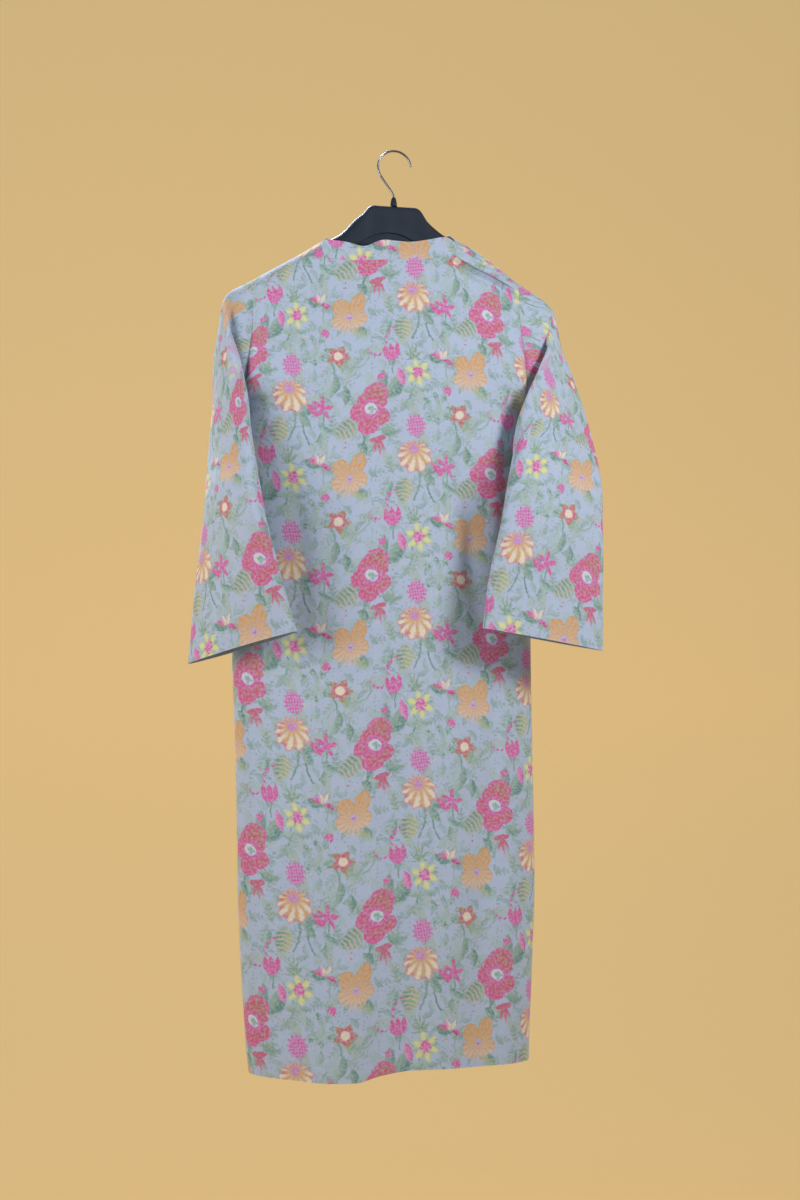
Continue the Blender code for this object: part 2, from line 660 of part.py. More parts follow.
def build():
    """Make every piece."""
    for old in list(bpy.data.objects):
        bpy.data.objects.remove(old, do_unlink=True)
    collection = bpy.data.collections.new("kurta_on_hanger")
    bpy.context.scene.collection.children.link(collection)

    cotton = material("printed_cotton", (0.40, 0.46, 0.54), 0.85)
    plastic = material("charcoal_plastic", (0.025, 0.033, 0.043), 0.45)
    chrome = material("bright_wire", (0.72, 0.72, 0.72), 0.18, 1.0)

    across = panel_columns()
    back = panel_point(-1, across[None, :], panel_rows(BACK_ARCH_ROWS)[:, None])
    cloth_sheet("back_panel", back, cotton, collection)

    front = panel_point(1, across[None, ::-1], panel_rows(FRONT_ARCH_ROWS)[:, None])
    middle = len(across) // 2
    line = front[:, middle]
    slit_foot = line[-1, 2] - SLIT_LENGTH
    first = int(np.argmin(np.abs(line[:-FRONT_ARCH_ROWS, 2] - slit_foot)))
    open_share = np.clip((line[first:, 2] - line[first, 2]) / SLIT_LENGTH, 0, 1)
    cloth_sheet("front_panel", front, cotton, collection,
                slit=(middle, first, SLIT_HALF * open_share))

    left = sleeve_grid(-1, SLEEVE_LEFT, SLEEVE_AROUND, sleeve_rows())
    cloth_sheet("sleeve_left", left, cotton, collection, closed=True)
    right = sleeve_grid(1, SLEEVE_RIGHT, SLEEVE_AROUND, sleeve_rows())
    cloth_sheet("sleeve_right", right[:, ::-1], cotton, collection, closed=True)

    cloth_sheet("collar_band", band_grid(BAND_ROWS), cotton, collection)

    hanger_body(plastic, collection)
    socket(plastic, collection)
    hook(chrome, collection)


build()
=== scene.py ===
"""A kurta tunic in printed cotton, hung on a moulded suit hanger with a wire hook.

Metres, +Z up.  The tunic's back faces -Y, its front +Y and its left sleeve -X, and a
rail would pass through the origin.  Each cloth piece is a thin shell on the form of
its own solid, with its creases, its print and its sewing.
"""
import math

import bpy
import numpy as np
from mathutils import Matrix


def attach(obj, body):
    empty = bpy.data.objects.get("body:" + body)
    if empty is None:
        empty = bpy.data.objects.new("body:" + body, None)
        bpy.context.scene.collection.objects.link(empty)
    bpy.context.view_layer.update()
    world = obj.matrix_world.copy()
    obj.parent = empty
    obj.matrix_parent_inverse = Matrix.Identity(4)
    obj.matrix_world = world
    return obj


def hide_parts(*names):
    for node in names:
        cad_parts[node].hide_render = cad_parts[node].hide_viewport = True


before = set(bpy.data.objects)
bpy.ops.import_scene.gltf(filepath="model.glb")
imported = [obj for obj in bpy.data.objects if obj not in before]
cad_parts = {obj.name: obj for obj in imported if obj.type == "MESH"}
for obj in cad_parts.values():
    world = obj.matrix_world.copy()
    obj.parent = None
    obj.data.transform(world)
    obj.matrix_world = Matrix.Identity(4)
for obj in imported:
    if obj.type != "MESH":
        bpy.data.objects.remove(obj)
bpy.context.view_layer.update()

# ---- The tunic's sizes ---------------------------------------------------------

SHELL = 0.0009              # cotton with its finish
TURNING = 0.0006            # added inside where an edge is turned in
HEM_TURN = 0.024            # depth of the turned hem and cuffs
MEETING = 0.00045           # sewn edges reach this far over, to meet the next piece
TURNED_DEPTH = 0.0014       # and turn in so deep
WALL = 0.0015               # the solids' walls, one of which lies on the hanger
SEAM_GAP = 0.0003           # half of the slit left between two sewn solids
FULLNESS = 2.35             # roundness of the body's oval, 2 is an ellipse

UNDERARM_Z = -0.355
TOP_CENTRE_X = -0.0112
TOP_HALF = 0.1838
NECK_SHARE = 0.492
NECK_FLARE = 0.012
NECK_TURN = 0.492
NECK_POINT = 0.700
EDGE_FOOT = 0.012
SHOULDER_RADIUS = 0.0265
ARM_FORWARD = 0.018
ARM_REACH = 0.2205
CLOTH_SEAT = 0.0010
NECK_DIP = 0.0078
NECK_DROP = 0.058
NECK_CORNER = 0.014
NECK_LEAN = 0.020
ARMHOLE_DEPTH = 0.19
LEFT_ROLL = 0.050
SHOULDER_LIP = 0.0028       # the right shoulder seam stands out over the back
LIP_WIDTH = 0.009
LIP_SPAN = (0.072, 0.100, 0.150, 0.172)     # where it starts, is full, fades and ends
SHOULDER_TUCK = 0.0065      # the back dips in below the right shoulder seam
TUCK_BELOW = 0.0085
TUCK_WIDTH = 0.0055
TUCK_SPAN = (0.050, 0.080, 0.160, 0.180)

SLEEVE_LENGTH = 0.52
SLEEVE_GIRTH = 0.37
SLEEVE_AIR = 0.0025

BAND_BACK = 0.0270
BAND_SIDE = 0.0118
BAND_WAVES = (              # dips (-) and rises of the collar's upper edge at the back
    ("x", "width", "rise"),
    (-0.110, 0.010, -0.0075),
    (-0.047, 0.016, -0.0062),
    (-0.020, 0.014, 0.0026),
    (0.020, 0.018, -0.0024),
    (0.062, 0.012, 0.0020),
    (0.088, 0.012, -0.0160),
)
BAND_LIES = (0.25, 1.05)    # over this part of its climb the band turns to the arms,
BAND_LOWERS = (-0.1, 0.55)  # over this it gets lower,
BAND_SLOPES = (0.5, 0.9)    # over this it slopes away on the right,
BAND_CALMS = (0.45, 0.85)   # and over this its waves fade
BAND_SLOPE = 0.0050
BAND_LEAN_BACK = 0.16
BAND_LEAN_FRONT = 0.30
BAND_LEAN_SIDE = 0.88
FRONT_LIE = 0.6
SLIT_LENGTH = 0.21
SLIT_HALF = 0.0018

BODY = (                    # ovals of the body, from the hem up
    ("z", "centre_x", "half_width", "half_depth"),
    (-1.240, -0.0054, 0.1895, 0.0570),
    (-1.200, -0.0068, 0.1920, 0.0575),
    (-1.105, -0.0078, 0.1975, 0.0585),
    (-0.990, -0.0085, 0.2020, 0.0590),
    (-0.820, -0.0115, 0.2028, 0.0580),
    (-0.690, -0.0148, 0.2045, 0.0565),
    (-0.500, -0.0150, 0.1990, 0.0545),
    (-0.355, -0.0150, 0.1940, 0.0510),
)

HEM = (                     # height of the hem, across the back and the front
    ("across", "back", "front"),
    (-1.00, -1.2400, -1.2400),
    (-0.75, -1.2435, -1.2405),
    (-0.48, -1.2485, -1.2405),
    (-0.30, -1.2482, -1.2400),
    (-0.13, -1.2405, -1.2390),
    (0.10, -1.2355, -1.2380),
    (0.50, -1.2358, -1.2375),
    (1.00, -1.2370, -1.2370),
)

RIGHT_ROLL = (              # the right shoulder seam, rolled over to the back
    ("x", "roll"),
    (0.078, -0.0040),
    (0.102, -0.0062),
    (0.139, 0.0000),
    (0.173, 0.0080),
)

DRAPE = (                   # broad troughs (-) and ridges (+) of the body's cloth
    ("side", "x", "z", "half_width", "half_length", "depth"),
    (-1, -0.137, -0.700, 0.022, 0.190, -0.0060),
    (-1, -0.100, -1.010, 0.034, 0.240, -0.0050),
    (-1, -0.034, -0.740, 0.018, 0.170, 0.0040),
    (-1, 0.092, -0.480, 0.020, 0.120, -0.0060),
    (-1, 0.126, -0.450, 0.015, 0.100, 0.0040),
    (-1, -0.075, -1.190, 0.040, 0.120, 0.0060),
    (-1, 0.060, -0.980, 0.030, 0.240, 0.0040),
    (-1, 0.110, -1.060, 0.024, 0.200, -0.0050),
    (1, -0.110, -0.760, 0.026, 0.210, -0.0055),
    (1, -0.050, -1.020, 0.030, 0.230, 0.0050),
    (1, 0.045, -0.700, 0.022, 0.180, -0.0045),
    (1, 0.100, -0.990, 0.030, 0.240, 0.0050),
    (1, 0.000, -1.120, 0.026, 0.150, -0.0050),
)

BODY_CREASES = (            # narrower creases, each from one end to the other
    ("side", "x", "z", "to_x", "to_z", "half_width", "depth"),
    (-1, 0.085, -0.172, 0.162, -0.207, 0.010, -0.0035),
    (-1, 0.128, -0.330, 0.168, -0.343, 0.006, -0.0024),
    (-1, 0.075, -0.400, 0.112, -0.690, 0.011, -0.0024),
    (-1, 0.140, -0.380, 0.128, -0.560, 0.010, 0.0022),
    (-1, -0.168, -0.350, -0.130, -0.560, 0.011, -0.0018),
    (-1, -0.095, -0.520, -0.118, -0.900, 0.010, -0.0024),
    (-1, -0.040, -0.640, -0.030, -0.860, 0.009, 0.0022),
    (-1, -0.128, -0.940, -0.088, -1.215, 0.012, -0.0028),
    (-1, -0.062, -1.080, -0.046, -1.230, 0.010, 0.0022),
    (-1, 0.030, -0.700, 0.052, -1.010, 0.010, -0.0018),
    (-1, 0.128, -0.720, 0.118, -1.020, 0.011, -0.0026),
    (-1, 0.155, -0.900, 0.150, -1.180, 0.009, 0.0018),
    (-1, -0.165, -0.760, -0.160, -1.060, 0.008, 0.0018),
    (-1, -0.004, -1.130, 0.008, -1.236, 0.010, -0.0026),
    (-1, 0.000, -0.300, 0.020, -0.430, 0.016, -0.0012),
    (1, -0.150, -0.300, -0.165, -0.480, 0.010, -0.0022),
    (1, 0.130, -0.290, 0.150, -0.470, 0.011, -0.0022),
    (1, -0.085, -0.480, -0.105, -0.830, 0.011, -0.0024),
    (1, 0.070, -0.520, 0.082, -0.900, 0.010, 0.0022),
    (1, 0.022, -0.820, 0.034, -1.140, 0.011, -0.0024),
    (1, -0.135, -0.850, -0.118, -1.180, 0.010, 0.0020),
    (1, 0.140, -0.920, 0.128, -1.220, 0.012, -0.0026),
    (1, -0.040, -1.090, -0.032, -1.236, 0.010, 0.0022),
    (1, -0.010, -0.440, 0.004, -0.640, 0.008, -0.0016),
)

SLEEVE_COLUMNS = ("x", "y", "z", "out_x", "out_y", "out_z", "back_x", "back_y", "back_z")
SLEEVE_LEFT = (
    SLEEVE_COLUMNS,
    (-0.2220, 0.006, -0.2905, -0.0085, 0.012, 0.0810, -0.0030, -0.043, 0.0000),
    (-0.2235, 0.003, -0.3220, -0.0125, 0.010, 0.0620, 0.0120, -0.052, -0.0040),
    (-0.2230, -0.004, -0.3720, -0.0155, 0.004, 0.0350, 0.0145, -0.062, -0.0060),
    (-0.2237, -0.018, -0.4300, -0.0175, -0.002, 0.0120, 0.0202, -0.068, -0.0040),
    (-0.2235, -0.050, -0.5000, -0.0230, -0.008, 0.0060, 0.0260, -0.064, 0.0000),
    (-0.2195, -0.050, -0.5880, -0.0180, -0.013, 0.0000, 0.0455, -0.060, 0.0060),
    (-0.2115, -0.048, -0.6860, -0.0120, -0.016, -0.0010, 0.0650, -0.052, 0.0200),
)
SLEEVE_RIGHT = (
    SLEEVE_COLUMNS,
    (0.2070, 0.006, -0.2890, 0.0225, 0.012, 0.0820, -0.0040, -0.043, 0.0000),
    (0.2085, -0.002, -0.3220, 0.0315, 0.010, 0.0620, -0.0290, -0.050, -0.0040),
    (0.2128, -0.020, -0.3700, 0.0380, 0.004, 0.0360, -0.0462, -0.048, -0.0060),
    (0.2122, -0.052, -0.4400, 0.0160, -0.030, 0.0100, -0.0680, -0.033, 0.0000),
    (0.1995, -0.080, -0.5300, 0.0080, -0.026, 0.0020, -0.0765, -0.018, 0.0000),
    (0.1888, -0.087, -0.6030, 0.0050, -0.021, 0.0000, -0.0827, -0.013, 0.0040),
    (0.1826, -0.092, -0.6740, 0.0040, -0.019, -0.0010, -0.0840, -0.008, 0.0140),
)
SLEEVE_FOLDS = (            # creases of the sleeves: along (0 armhole, 1 cuff) and round
    ("hand", "along", "round", "to_along", "to_round", "half_width", "depth"),
    (-1, 0.056, 0.420, 0.062, 0.120, 0.011, -0.013),
    (1, 0.118, 0.400, 0.044, 0.110, 0.011, -0.012),
    (-1, 0.070, 0.880, 0.080, 0.640, 0.014, -0.008),
    (1, 0.060, 0.880, 0.090, 0.640, 0.014, -0.008),
)
SLEEVE_CREASES = (          # narrower ones, in the same terms
    ("hand", "along", "round", "to_along", "to_round", "half_width", "depth"),
    (-1, 0.260, 0.200, 0.800, 0.160, 0.010, -0.0020),
    (-1, 0.300, 0.330, 0.900, 0.300, 0.009, 0.0018),
    (-1, 0.450, 0.250, 0.980, 0.230, 0.008, -0.0016),
    (-1, 0.300, 0.700, 0.860, 0.740, 0.010, -0.0020),
    (-1, 0.350, 0.860, 0.940, 0.840, 0.009, 0.0018),
    (1, 0.300, 0.180, 0.880, 0.150, 0.010, -0.0022),
    (1, 0.260, 0.290, 0.800, 0.270, 0.011, 0.0022),
    (1, 0.340, 0.360, 0.960, 0.370, 0.009, -0.0020),
    (1, 0.300, 0.700, 0.900, 0.720, 0.010, -0.0022),
    (1, 0.400, 0.850, 0.950, 0.860, 0.009, 0.0018),
)

HANGER = (                  # half of the hanger, from its middle to its end
    ("x", "top", "bottom", "half_thick"),
    (0.0000, -0.0765, -0.1335, 0.0075),
    (0.0280, -0.0765, -0.1335, 0.0078),
    (0.0345, -0.0792, -0.1340, 0.0080),
    (0.0460, -0.0955, -0.1345, 0.0086),
    (0.0675, -0.1146, -0.1400, 0.0102),
    (0.0900, -0.1281, -0.1520, 0.0122),
    (0.1200, -0.1454, -0.1690, 0.0150),
    (0.1600, -0.1683, -0.1930, 0.0180),
    (0.2000, -0.1920, -0.2160, 0.0203),
    (0.2130, -0.2008, -0.2230, 0.0200),
    (0.2205, -0.2095, -0.2195, 0.0130),
)
ARM_LIFTS = (               # where the arms stand higher than the table has them
    ("x", "width", "rise"),
    (0.118, 0.050, 0.0074),
    (-0.102, 0.018, 0.0018),
)
LIFT_STARTS = (0.028, 0.060)
HANGER_EDGE = 4.0
LIP_X = -0.008
LIP_TOP = -0.1148           # the moulding steps in under this lip at its middle
LIP_FALL = 0.0170           # and the lip falls so far
LIP_RUN = 0.044             # so far out
LIP_STEP = 0.0026
LIP_ENDS = (0.052, 0.068)
HIGH_FLANK = 0.0072         # the left flank stands so much higher
FLANK_X = -0.054
FLANK_WIDTH = 0.016

WIRE_RADIUS = 0.0015
HOOK_RADIUS = 0.0230
HOOK_TIP = math.radians(8)
HOOK_LEAVE = math.radians(206)
STEM_X = -0.0012
SOCKET_TOP = -0.0640
SOCKET_RADIUS = 0.0050
SOCKET_BORE = 0.0019

# Steps between rows and columns of points.
PANEL_COLUMNS = (30, 14, 24)    # shoulder, climb of the neck seam, neck
COARSE_COLUMNS = (7, 7, 4)      # enough to find the collar's middle
BACK_ROWS = (118, 60, 20)       # to the underarms, to the fold, to the seams
FRONT_ROWS = (118, 60, 26)
SLEEVE_AROUND = 112
SLEEVE_ROWS = (40, 104)         # the first fifth of the sleeve, and the rest
BAND_ROWS = 10
TURNED_ROWS = 2                 # added at an edge that is turned in
HANGER_AROUND = 96
HANGER_STEPS = 8                # between two rows of the hanger's table

# Top-stitching, and the grooves that it and the seams draw into the cloth, bumped in and darkened a
# little with painted shade.
HEM_LINE = 0.002                # this far inside the turning's own edge
NECK_LINE = 0.0185              # from the neck seam
STITCH_PITCH = 0.0014
STITCH_LENGTH = 0.0010
THREAD_HALF = 0.0005
GROOVE_EDGE, GROOVE_HEART = 0.0018, 0.0002
SEAM_GROOVE = 0.0016

# The print's repeat: one step across the cloth drops it, one step up is straight.
REPEAT_WIDTH = 0.1672
REPEAT_DROP = -0.087
REPEAT_HEIGHT = 0.2228
PRINT_WANDER = 0.0048       # its outlines stray so far

CUT_FROM = {                # where each piece is cut: its shift over the print
    "back": (0.0268, -0.0832),
    "front": (-0.030, 0.330),
    "left_sleeve": (-0.0623, -0.1008),
    "right_sleeve": (-0.0480, -0.0924),
    "neck_band": (-0.0904, -0.0880),
}


# ---- Tables and curves ---------------------------------------------------------

def column(table, name):
    """One named column of a table, as an array."""
    place = table[0].index(name)
    return np.array([row[place] for row in table[1:]], dtype=float)


def ease(start, end, slope_start, slope_end, share):
    """Cubic from start to end with the slopes given, share running 0 to 1."""
    square = share * share
    cube = square * share
    return ((2 * cube - 3 * square + 1) * start + (cube - 2 * square + share) * slope_start
            + (3 * square - 2 * cube) * end + (cube - square) * slope_end)


def steady_slopes(knots, values):
    """Slopes at the rows that let the curve neither overshoot nor ripple."""
    secants = np.diff(values) / np.diff(knots)
    before, after = secants[:-1], secants[1:]
    agree = before * after > 0
    inner = np.where(agree, 2 * before * after / np.where(agree, before + after, 1.0), 0.0)
    return np.concatenate([secants[:1], inner, secants[-1:]])


def through(table, key, name, at):
    """A column read along a smooth curve through the table's rows."""
    knots = column(table, key)
    values = column(table, name)
    slopes = steady_slopes(knots, values)
    at = np.clip(at, knots[0], knots[-1])
    row = np.clip(np.searchsorted(knots, at, side="right") - 1, 0, len(knots) - 2)
    step = knots[row + 1] - knots[row]
    return ease(values[row], values[row + 1], slopes[row] * step, slopes[row + 1] * step,
                (at - knots[row]) / step)


def smooth(value, low, high):
    """0 below low, 1 above high, and a soft step between."""
    share = np.clip((value - low) / (high - low), 0.0, 1.0)
    return share * share * (3 - 2 * share)


def between(value, start, full, fade, end):
    """1 from full to fade, 0 outside start and end, and soft steps."""
    return smooth(value, start, full) * (1 - smooth(value, fade, end))


def stations(stops, counts):
    """Places from stop to stop, with so many steps between two stops."""
    runs = [np.linspace(low, high, count + 1)[1:]
            for low, high, count in zip(stops, stops[1:], counts)]
    return np.concatenate([[stops[0]]] + runs)


def walked(points, axis):
    """Distance walked along rows or columns of points, from the first."""
    steps = np.linalg.norm(np.diff(points, axis=axis), axis=-1)
    start = np.zeros_like(np.take(steps, [0], axis=axis))
    return np.cumsum(np.concatenate([start, steps], axis=axis), axis=axis)


def creased(table, kind, first, second, scale=(1.0, 1.0)):
    """How far a table's creases push the cloth out at places given by two
    coordinates: each crease fades at its ends and to its sides."""
    push = np.zeros(np.broadcast(first, second).shape)
    for own, low, start, high, end, half_width, depth in table[1:]:
        if own == kind:
            origin = np.array([low * scale[0], start * scale[1]])
            run = np.array([high * scale[0], end * scale[1]]) - origin
            a = first * scale[0] - origin[0]
            b = second * scale[1] - origin[1]
            share = np.clip((a * run[0] + b * run[1]) / (run @ run), 0.0, 1.0)
            away = np.hypot(a - share * run[0], b - share * run[1])
            push = push + depth * np.exp(-(away / half_width) ** 2) * np.sin(math.pi * (
                0.15 + 0.7 * share))
    return push


# ---- The body's cloth ----------------------------------------------------------

def arm_z(x):
    """Top of the hanger's arms, which stand a little higher on the right."""
    lift = sum(rise * np.exp(-((x - at) / width) ** 2) for at, width, rise in ARM_LIFTS[1:])
    return through(HANGER, "x", "top", np.abs(x)) + lift * smooth(np.abs(x), *LIFT_STARTS)


def ridge_z(x):
    """Top of the cloth where it lies on the hanger's arms."""
    return arm_z(x) + CLOTH_SEAT + WALL


def arch_base_z(across):
    """Height where the cloth starts to fold over the arm; the neck seam between the arms."""
    shoulder = ridge_z(TOP_CENTRE_X + TOP_HALF * across) - SHOULDER_RADIUS
    left = ridge_z(TOP_CENTRE_X - TOP_HALF * NECK_SHARE) - SHOULDER_RADIUS
    right = ridge_z(TOP_CENTRE_X + TOP_HALF * NECK_SHARE) - SHOULDER_RADIUS
    share = across / NECK_SHARE
    neck = (left + right) / 2 + (right - left) / 2 * share - NECK_DIP * (1 - share ** 4)
    return np.where(np.abs(across) < NECK_SHARE, neck, shoulder)


def arch_point(across, roll):
    """A point on the fold over the shoulders: roll 0 is its foot at the back."""
    x = TOP_CENTRE_X + TOP_HALF * across
    base = arch_base_z(across)
    middle = ARM_FORWARD * (x / ARM_REACH) ** 2
    half_turn = math.pi * SHOULDER_RADIUS
    turn = np.clip(roll, 0.0, half_turn) / SHOULDER_RADIUS
    below = np.minimum(roll, 0.0) - np.maximum(roll - half_turn, 0.0)
    inside = np.clip(1 - (across / NECK_SHARE) ** 2, 0.0, 1.0)
    lean = NECK_LEAN * inside * smooth(roll - half_turn, 0.0, NECK_DROP)
    y = middle - SHOULDER_RADIUS * np.cos(turn) + lean
    z = base + SHOULDER_RADIUS * np.sin(turn) + below
    return np.stack([x + 0 * roll, y, z], axis=-1)


def edge_across(side, across):
    """Where a panel's column ends on its upper edge."""
    top = NECK_SHARE + NECK_FLARE
    flare = NECK_FLARE * smooth(neck_climb(across), 0.0, 0.3)
    share = np.interp(np.abs(across), (0, NECK_TURN, NECK_POINT, 1),
                      (0, NECK_SHARE, NECK_SHARE, 1))
    share = np.where(np.abs(across) < NECK_POINT, share + flare,
                     top + (1 - top) * (np.abs(across) - NECK_POINT) / (1 - NECK_POINT))
    plain = np.interp(across, (0, NECK_TURN, 1), (0, top, 1))
    return np.where((side < 0) & (across > 0), plain, np.sign(across) * share)


def neck_climb(across):
    """0 for a column that ends on the low neck seam, 1 from the neck point outward."""
    return np.clip((np.abs(across) - NECK_TURN) / (NECK_POINT - NECK_TURN), 0.0, 1.0)


def seam_roll(across):
    """Where the shoulder seams run on the arch."""
    x = TOP_CENTRE_X + TOP_HALF * across
    return np.where(across < 0, LEFT_ROLL, through(RIGHT_ROLL, "x", "roll", x))


def back_top_roll(across):
    """Upper edge of the back: shoulder seams, and the neck seam between them."""
    low = through(RIGHT_ROLL, "x", "roll", 0.078) * smooth(across, 0.17, NECK_TURN)
    climb = np.where(across < 0, neck_climb(across), across > NECK_TURN)
    return low + (seam_roll(edge_across(-1, across)) - low) * climb


def front_top_roll(across):
    """Upper edge of the front: shoulder seams, and the lower neck between them."""
    share = np.clip(np.abs(across) / NECK_TURN, 0.0, 1.0)
    drop = NECK_CORNER + (NECK_DROP - NECK_CORNER) * (1 - share ** 2.4)
    low = math.pi * SHOULDER_RADIUS + drop
    return low + (seam_roll(edge_across(1, across)) - low) * neck_climb(across)


def drape(side, x, z):
    """How far the broad folds and the creases push the cloth out."""
    push = creased(BODY_CREASES, side, x, z)
    for fold_side, fold_x, fold_z, half_width, half_length, depth in DRAPE[1:]:
        if fold_side == side:
            reach = ((x - fold_x) / half_width) ** 2 + ((z - fold_z) / half_length) ** 2
            push = push + depth * np.exp(-reach)
    return push


def panel_point(side, across, up):
    """A point of the back (side -1) or the front (side 1): across -1 to 1 from the
    left side to the right, up 0 to 1 to the underarms, 2 to the fold over the
    shoulders and 3 to the seams there."""
    across, up = np.broadcast_arrays(np.asarray(across, float), np.asarray(up, float))
    oval = (1 - np.abs(across) ** FULLNESS) ** (1 / FULLNESS)
    hem = through(HEM, "across", "back" if side < 0 else "front", across)

    tube_z = hem + (UNDERARM_Z - hem) * np.clip(up, 0.0, 1.0)
    tube = np.stack([
        through(BODY, "z", "centre_x", tube_z) + through(BODY, "z", "half_width", tube_z) * across,
        side * through(BODY, "z", "half_depth", tube_z) * oval,
        tube_z], axis=-1)

    if side < 0:
        edge = back_top_roll(across) - SEAM_GAP
        foot = np.minimum(edge, 0.0) - EDGE_FOOT
    else:
        edge = front_top_roll(across) + SEAM_GAP
        foot = np.maximum(edge, math.pi * SHOULDER_RADIUS) + EDGE_FOOT
    high = arch_point(across, foot)
    rise = high[..., 2] - UNDERARM_Z
    hole = np.abs(across) ** 6
    start = np.stack([0 * hole, side * ARMHOLE_DEPTH * hole, rise * (1 - 0.6 * hole)], axis=-1)
    end = np.stack([0 * hole, 0 * hole, rise], axis=-1)
    yoke_share = np.clip(up - 1, 0.0, 1.0)[..., None]
    yoke = ease(tube, high, start, end, yoke_share)

    arch_share = np.clip(up - 2, 0.0, 1.0)
    toward_edge = across + (edge_across(side, across) - across) * arch_share
    arch = arch_point(toward_edge, foot + (edge - foot) * arch_share)

    point = np.where((up <= 1)[..., None], tube, np.where((up <= 2)[..., None], yoke, arch))
    x = point[..., 0]
    from_seam = np.abs(edge - foot) * (1 - arch_share)
    if side < 0:
        from_seam = from_seam + np.maximum(high[..., 2] - yoke[..., 2], 0.0)
        tuck = between(x, *TUCK_SPAN) * (up > 1)
        dip = np.exp(-((from_seam - TUCK_BELOW) / TUCK_WIDTH) ** 2)
        point[..., 1] += SHOULDER_TUCK * tuck * dip
    else:
        lip = between(x, *LIP_SPAN) * (up > 2)
        point[..., 1] -= SHOULDER_LIP * lip * np.exp(-(from_seam / LIP_WIDTH) ** 2)
    fade = smooth(oval, 0.0, 0.45) * (1 - smooth(up, 1.55, 2.0))
    point[..., 1] += side * (SEAM_GAP + fade * drape(side, point[..., 0], point[..., 2]))
    return point


def armhole_loop(hand, count):
    """Points round an armhole: from the underarm up the back, over, and down the front."""
    ups = np.linspace(1.0, 3.0, 121)
    back = panel_point(-1, hand, ups)
    front = panel_point(1, hand, ups)[::-1]
    loop = np.concatenate([back, front])
    top = int(np.argmax(loop[:, 2]))
    halves = []
    for part in (loop[:top + 1], loop[top:]):
        way = walked(part, 0)
        at = np.linspace(0, way[-1], count // 2 + 1)[:-1]
        halves.append(np.stack([np.interp(at, way, part[:, k]) for k in range(3)], axis=-1))
    return np.concatenate(halves)


def sleeve_ovals(table, count):
    """The table's ovals as rings of points, in the armhole loop's order."""
    centre = np.stack([column(table, k) for k in "xyz"], axis=-1)
    out = np.stack([column(table, "out_" + k) for k in "xyz"], axis=-1)
    back = np.stack([column(table, "back_" + k) for k in "xyz"], axis=-1)
    angle = np.arange(count)[None, :, None] * 2 * math.pi / count
    return centre[:, None] - out[:, None] * np.cos(angle) + back[:, None] * np.sin(angle)


def clear_of_body(points):
    """The sleeve's points, moved out of the body's oval with a little air."""
    x, y, z = points[..., 0], points[..., 1], points[..., 2]
    air = 2 * SEAM_GAP + SLEEVE_AIR * smooth(-z, -UNDERARM_Z, -UNDERARM_Z + 0.03)
    centre = through(BODY, "z", "centre_x", z)
    wide = through(BODY, "z", "half_width", z) + air
    deep = through(BODY, "z", "half_depth", z) + air
    reach = (np.abs((x - centre) / wide) ** FULLNESS + np.abs(y / deep) ** FULLNESS)
    reach = np.where(z < UNDERARM_Z, reach ** (1 / FULLNESS), 1.0)
    grow = 1 / np.clip(reach, 0.05, 1.0)
    return np.stack([centre + (x - centre) * grow, y * grow, z], axis=-1)


def sleeve_grid(hand, table, count, shares):
    """Rings of the sleeve from the armhole, share 0, to the cuff, share 1."""
    first = armhole_loop(hand, count)
    first[:, 0] += hand * 2 * SEAM_GAP
    rings = np.concatenate([first[None], sleeve_ovals(table, count)])
    knots = np.concatenate([[0], np.cumsum(np.linalg.norm(
        np.diff(rings, axis=0), axis=2).mean(axis=1))])
    knots /= knots[-1]
    slopes = np.gradient(rings, knots, axis=0)
    row = np.clip(np.searchsorted(knots, shares, side="right") - 1, 0, len(knots) - 2)
    step = (knots[row + 1] - knots[row])[:, None, None]
    share = ((shares - knots[row]) / (knots[row + 1] - knots[row]))[:, None, None]
    grid = ease(rings[row], rings[row + 1], slopes[row] * step, slopes[row + 1] * step, share)
    around = np.arange(count)[None, :] / count
    along = shares[:, None]
    cloth = (SLEEVE_LENGTH, SLEEVE_GIRTH)
    push = creased(SLEEVE_FOLDS, hand, along, around, cloth)
    push = push + creased(SLEEVE_CREASES, hand, along, around, cloth)
    push = push * smooth(shares, 0.0, 0.03)[:, None]
    return clear_of_body(grid + outward(grid, hand) * push[..., None])


def outward(grid, hand):
    """Unit vectors square to a sleeve's rings of points, pointing out of the tube."""
    down = np.gradient(grid, axis=0)
    round_way = np.roll(grid, -1, axis=1) - np.roll(grid, 1, axis=1)
    way = np.cross(down, round_way) * hand
    return way / np.linalg.norm(way, axis=2)[..., None]


def neck_loop(across):
    """The neck seam from the front slit round by the left and the back, and how far
    the front has turned to the arms at each point."""
    left = across[(across >= -NECK_POINT - 1e-9) & (across <= 1e-9)][::-1]
    back = across[(across >= -NECK_POINT - 1e-9) & (across <= NECK_TURN + 1e-9)]
    right = -left[::-1]
    front_left = arch_point(edge_across(1, left), front_top_roll(left))
    back_seam = arch_point(edge_across(-1, back), back_top_roll(back))
    front_right = arch_point(edge_across(1, right), front_top_roll(right))
    for front in (front_left, front_right):
        front[:, 1] += SEAM_GAP
    back_seam[:, 1] -= SEAM_GAP
    front_left[0, 0] -= SLIT_HALF
    front_right[-1, 0] += SLIT_HALF
    turned = FRONT_LIE * smooth(np.abs(left), 0.25, NECK_SHARE)
    points = np.concatenate([front_left[:-1], back_seam, front_right[1:]])
    return points, np.concatenate([turned[:-1], 0 * back, turned[::-1][1:]])


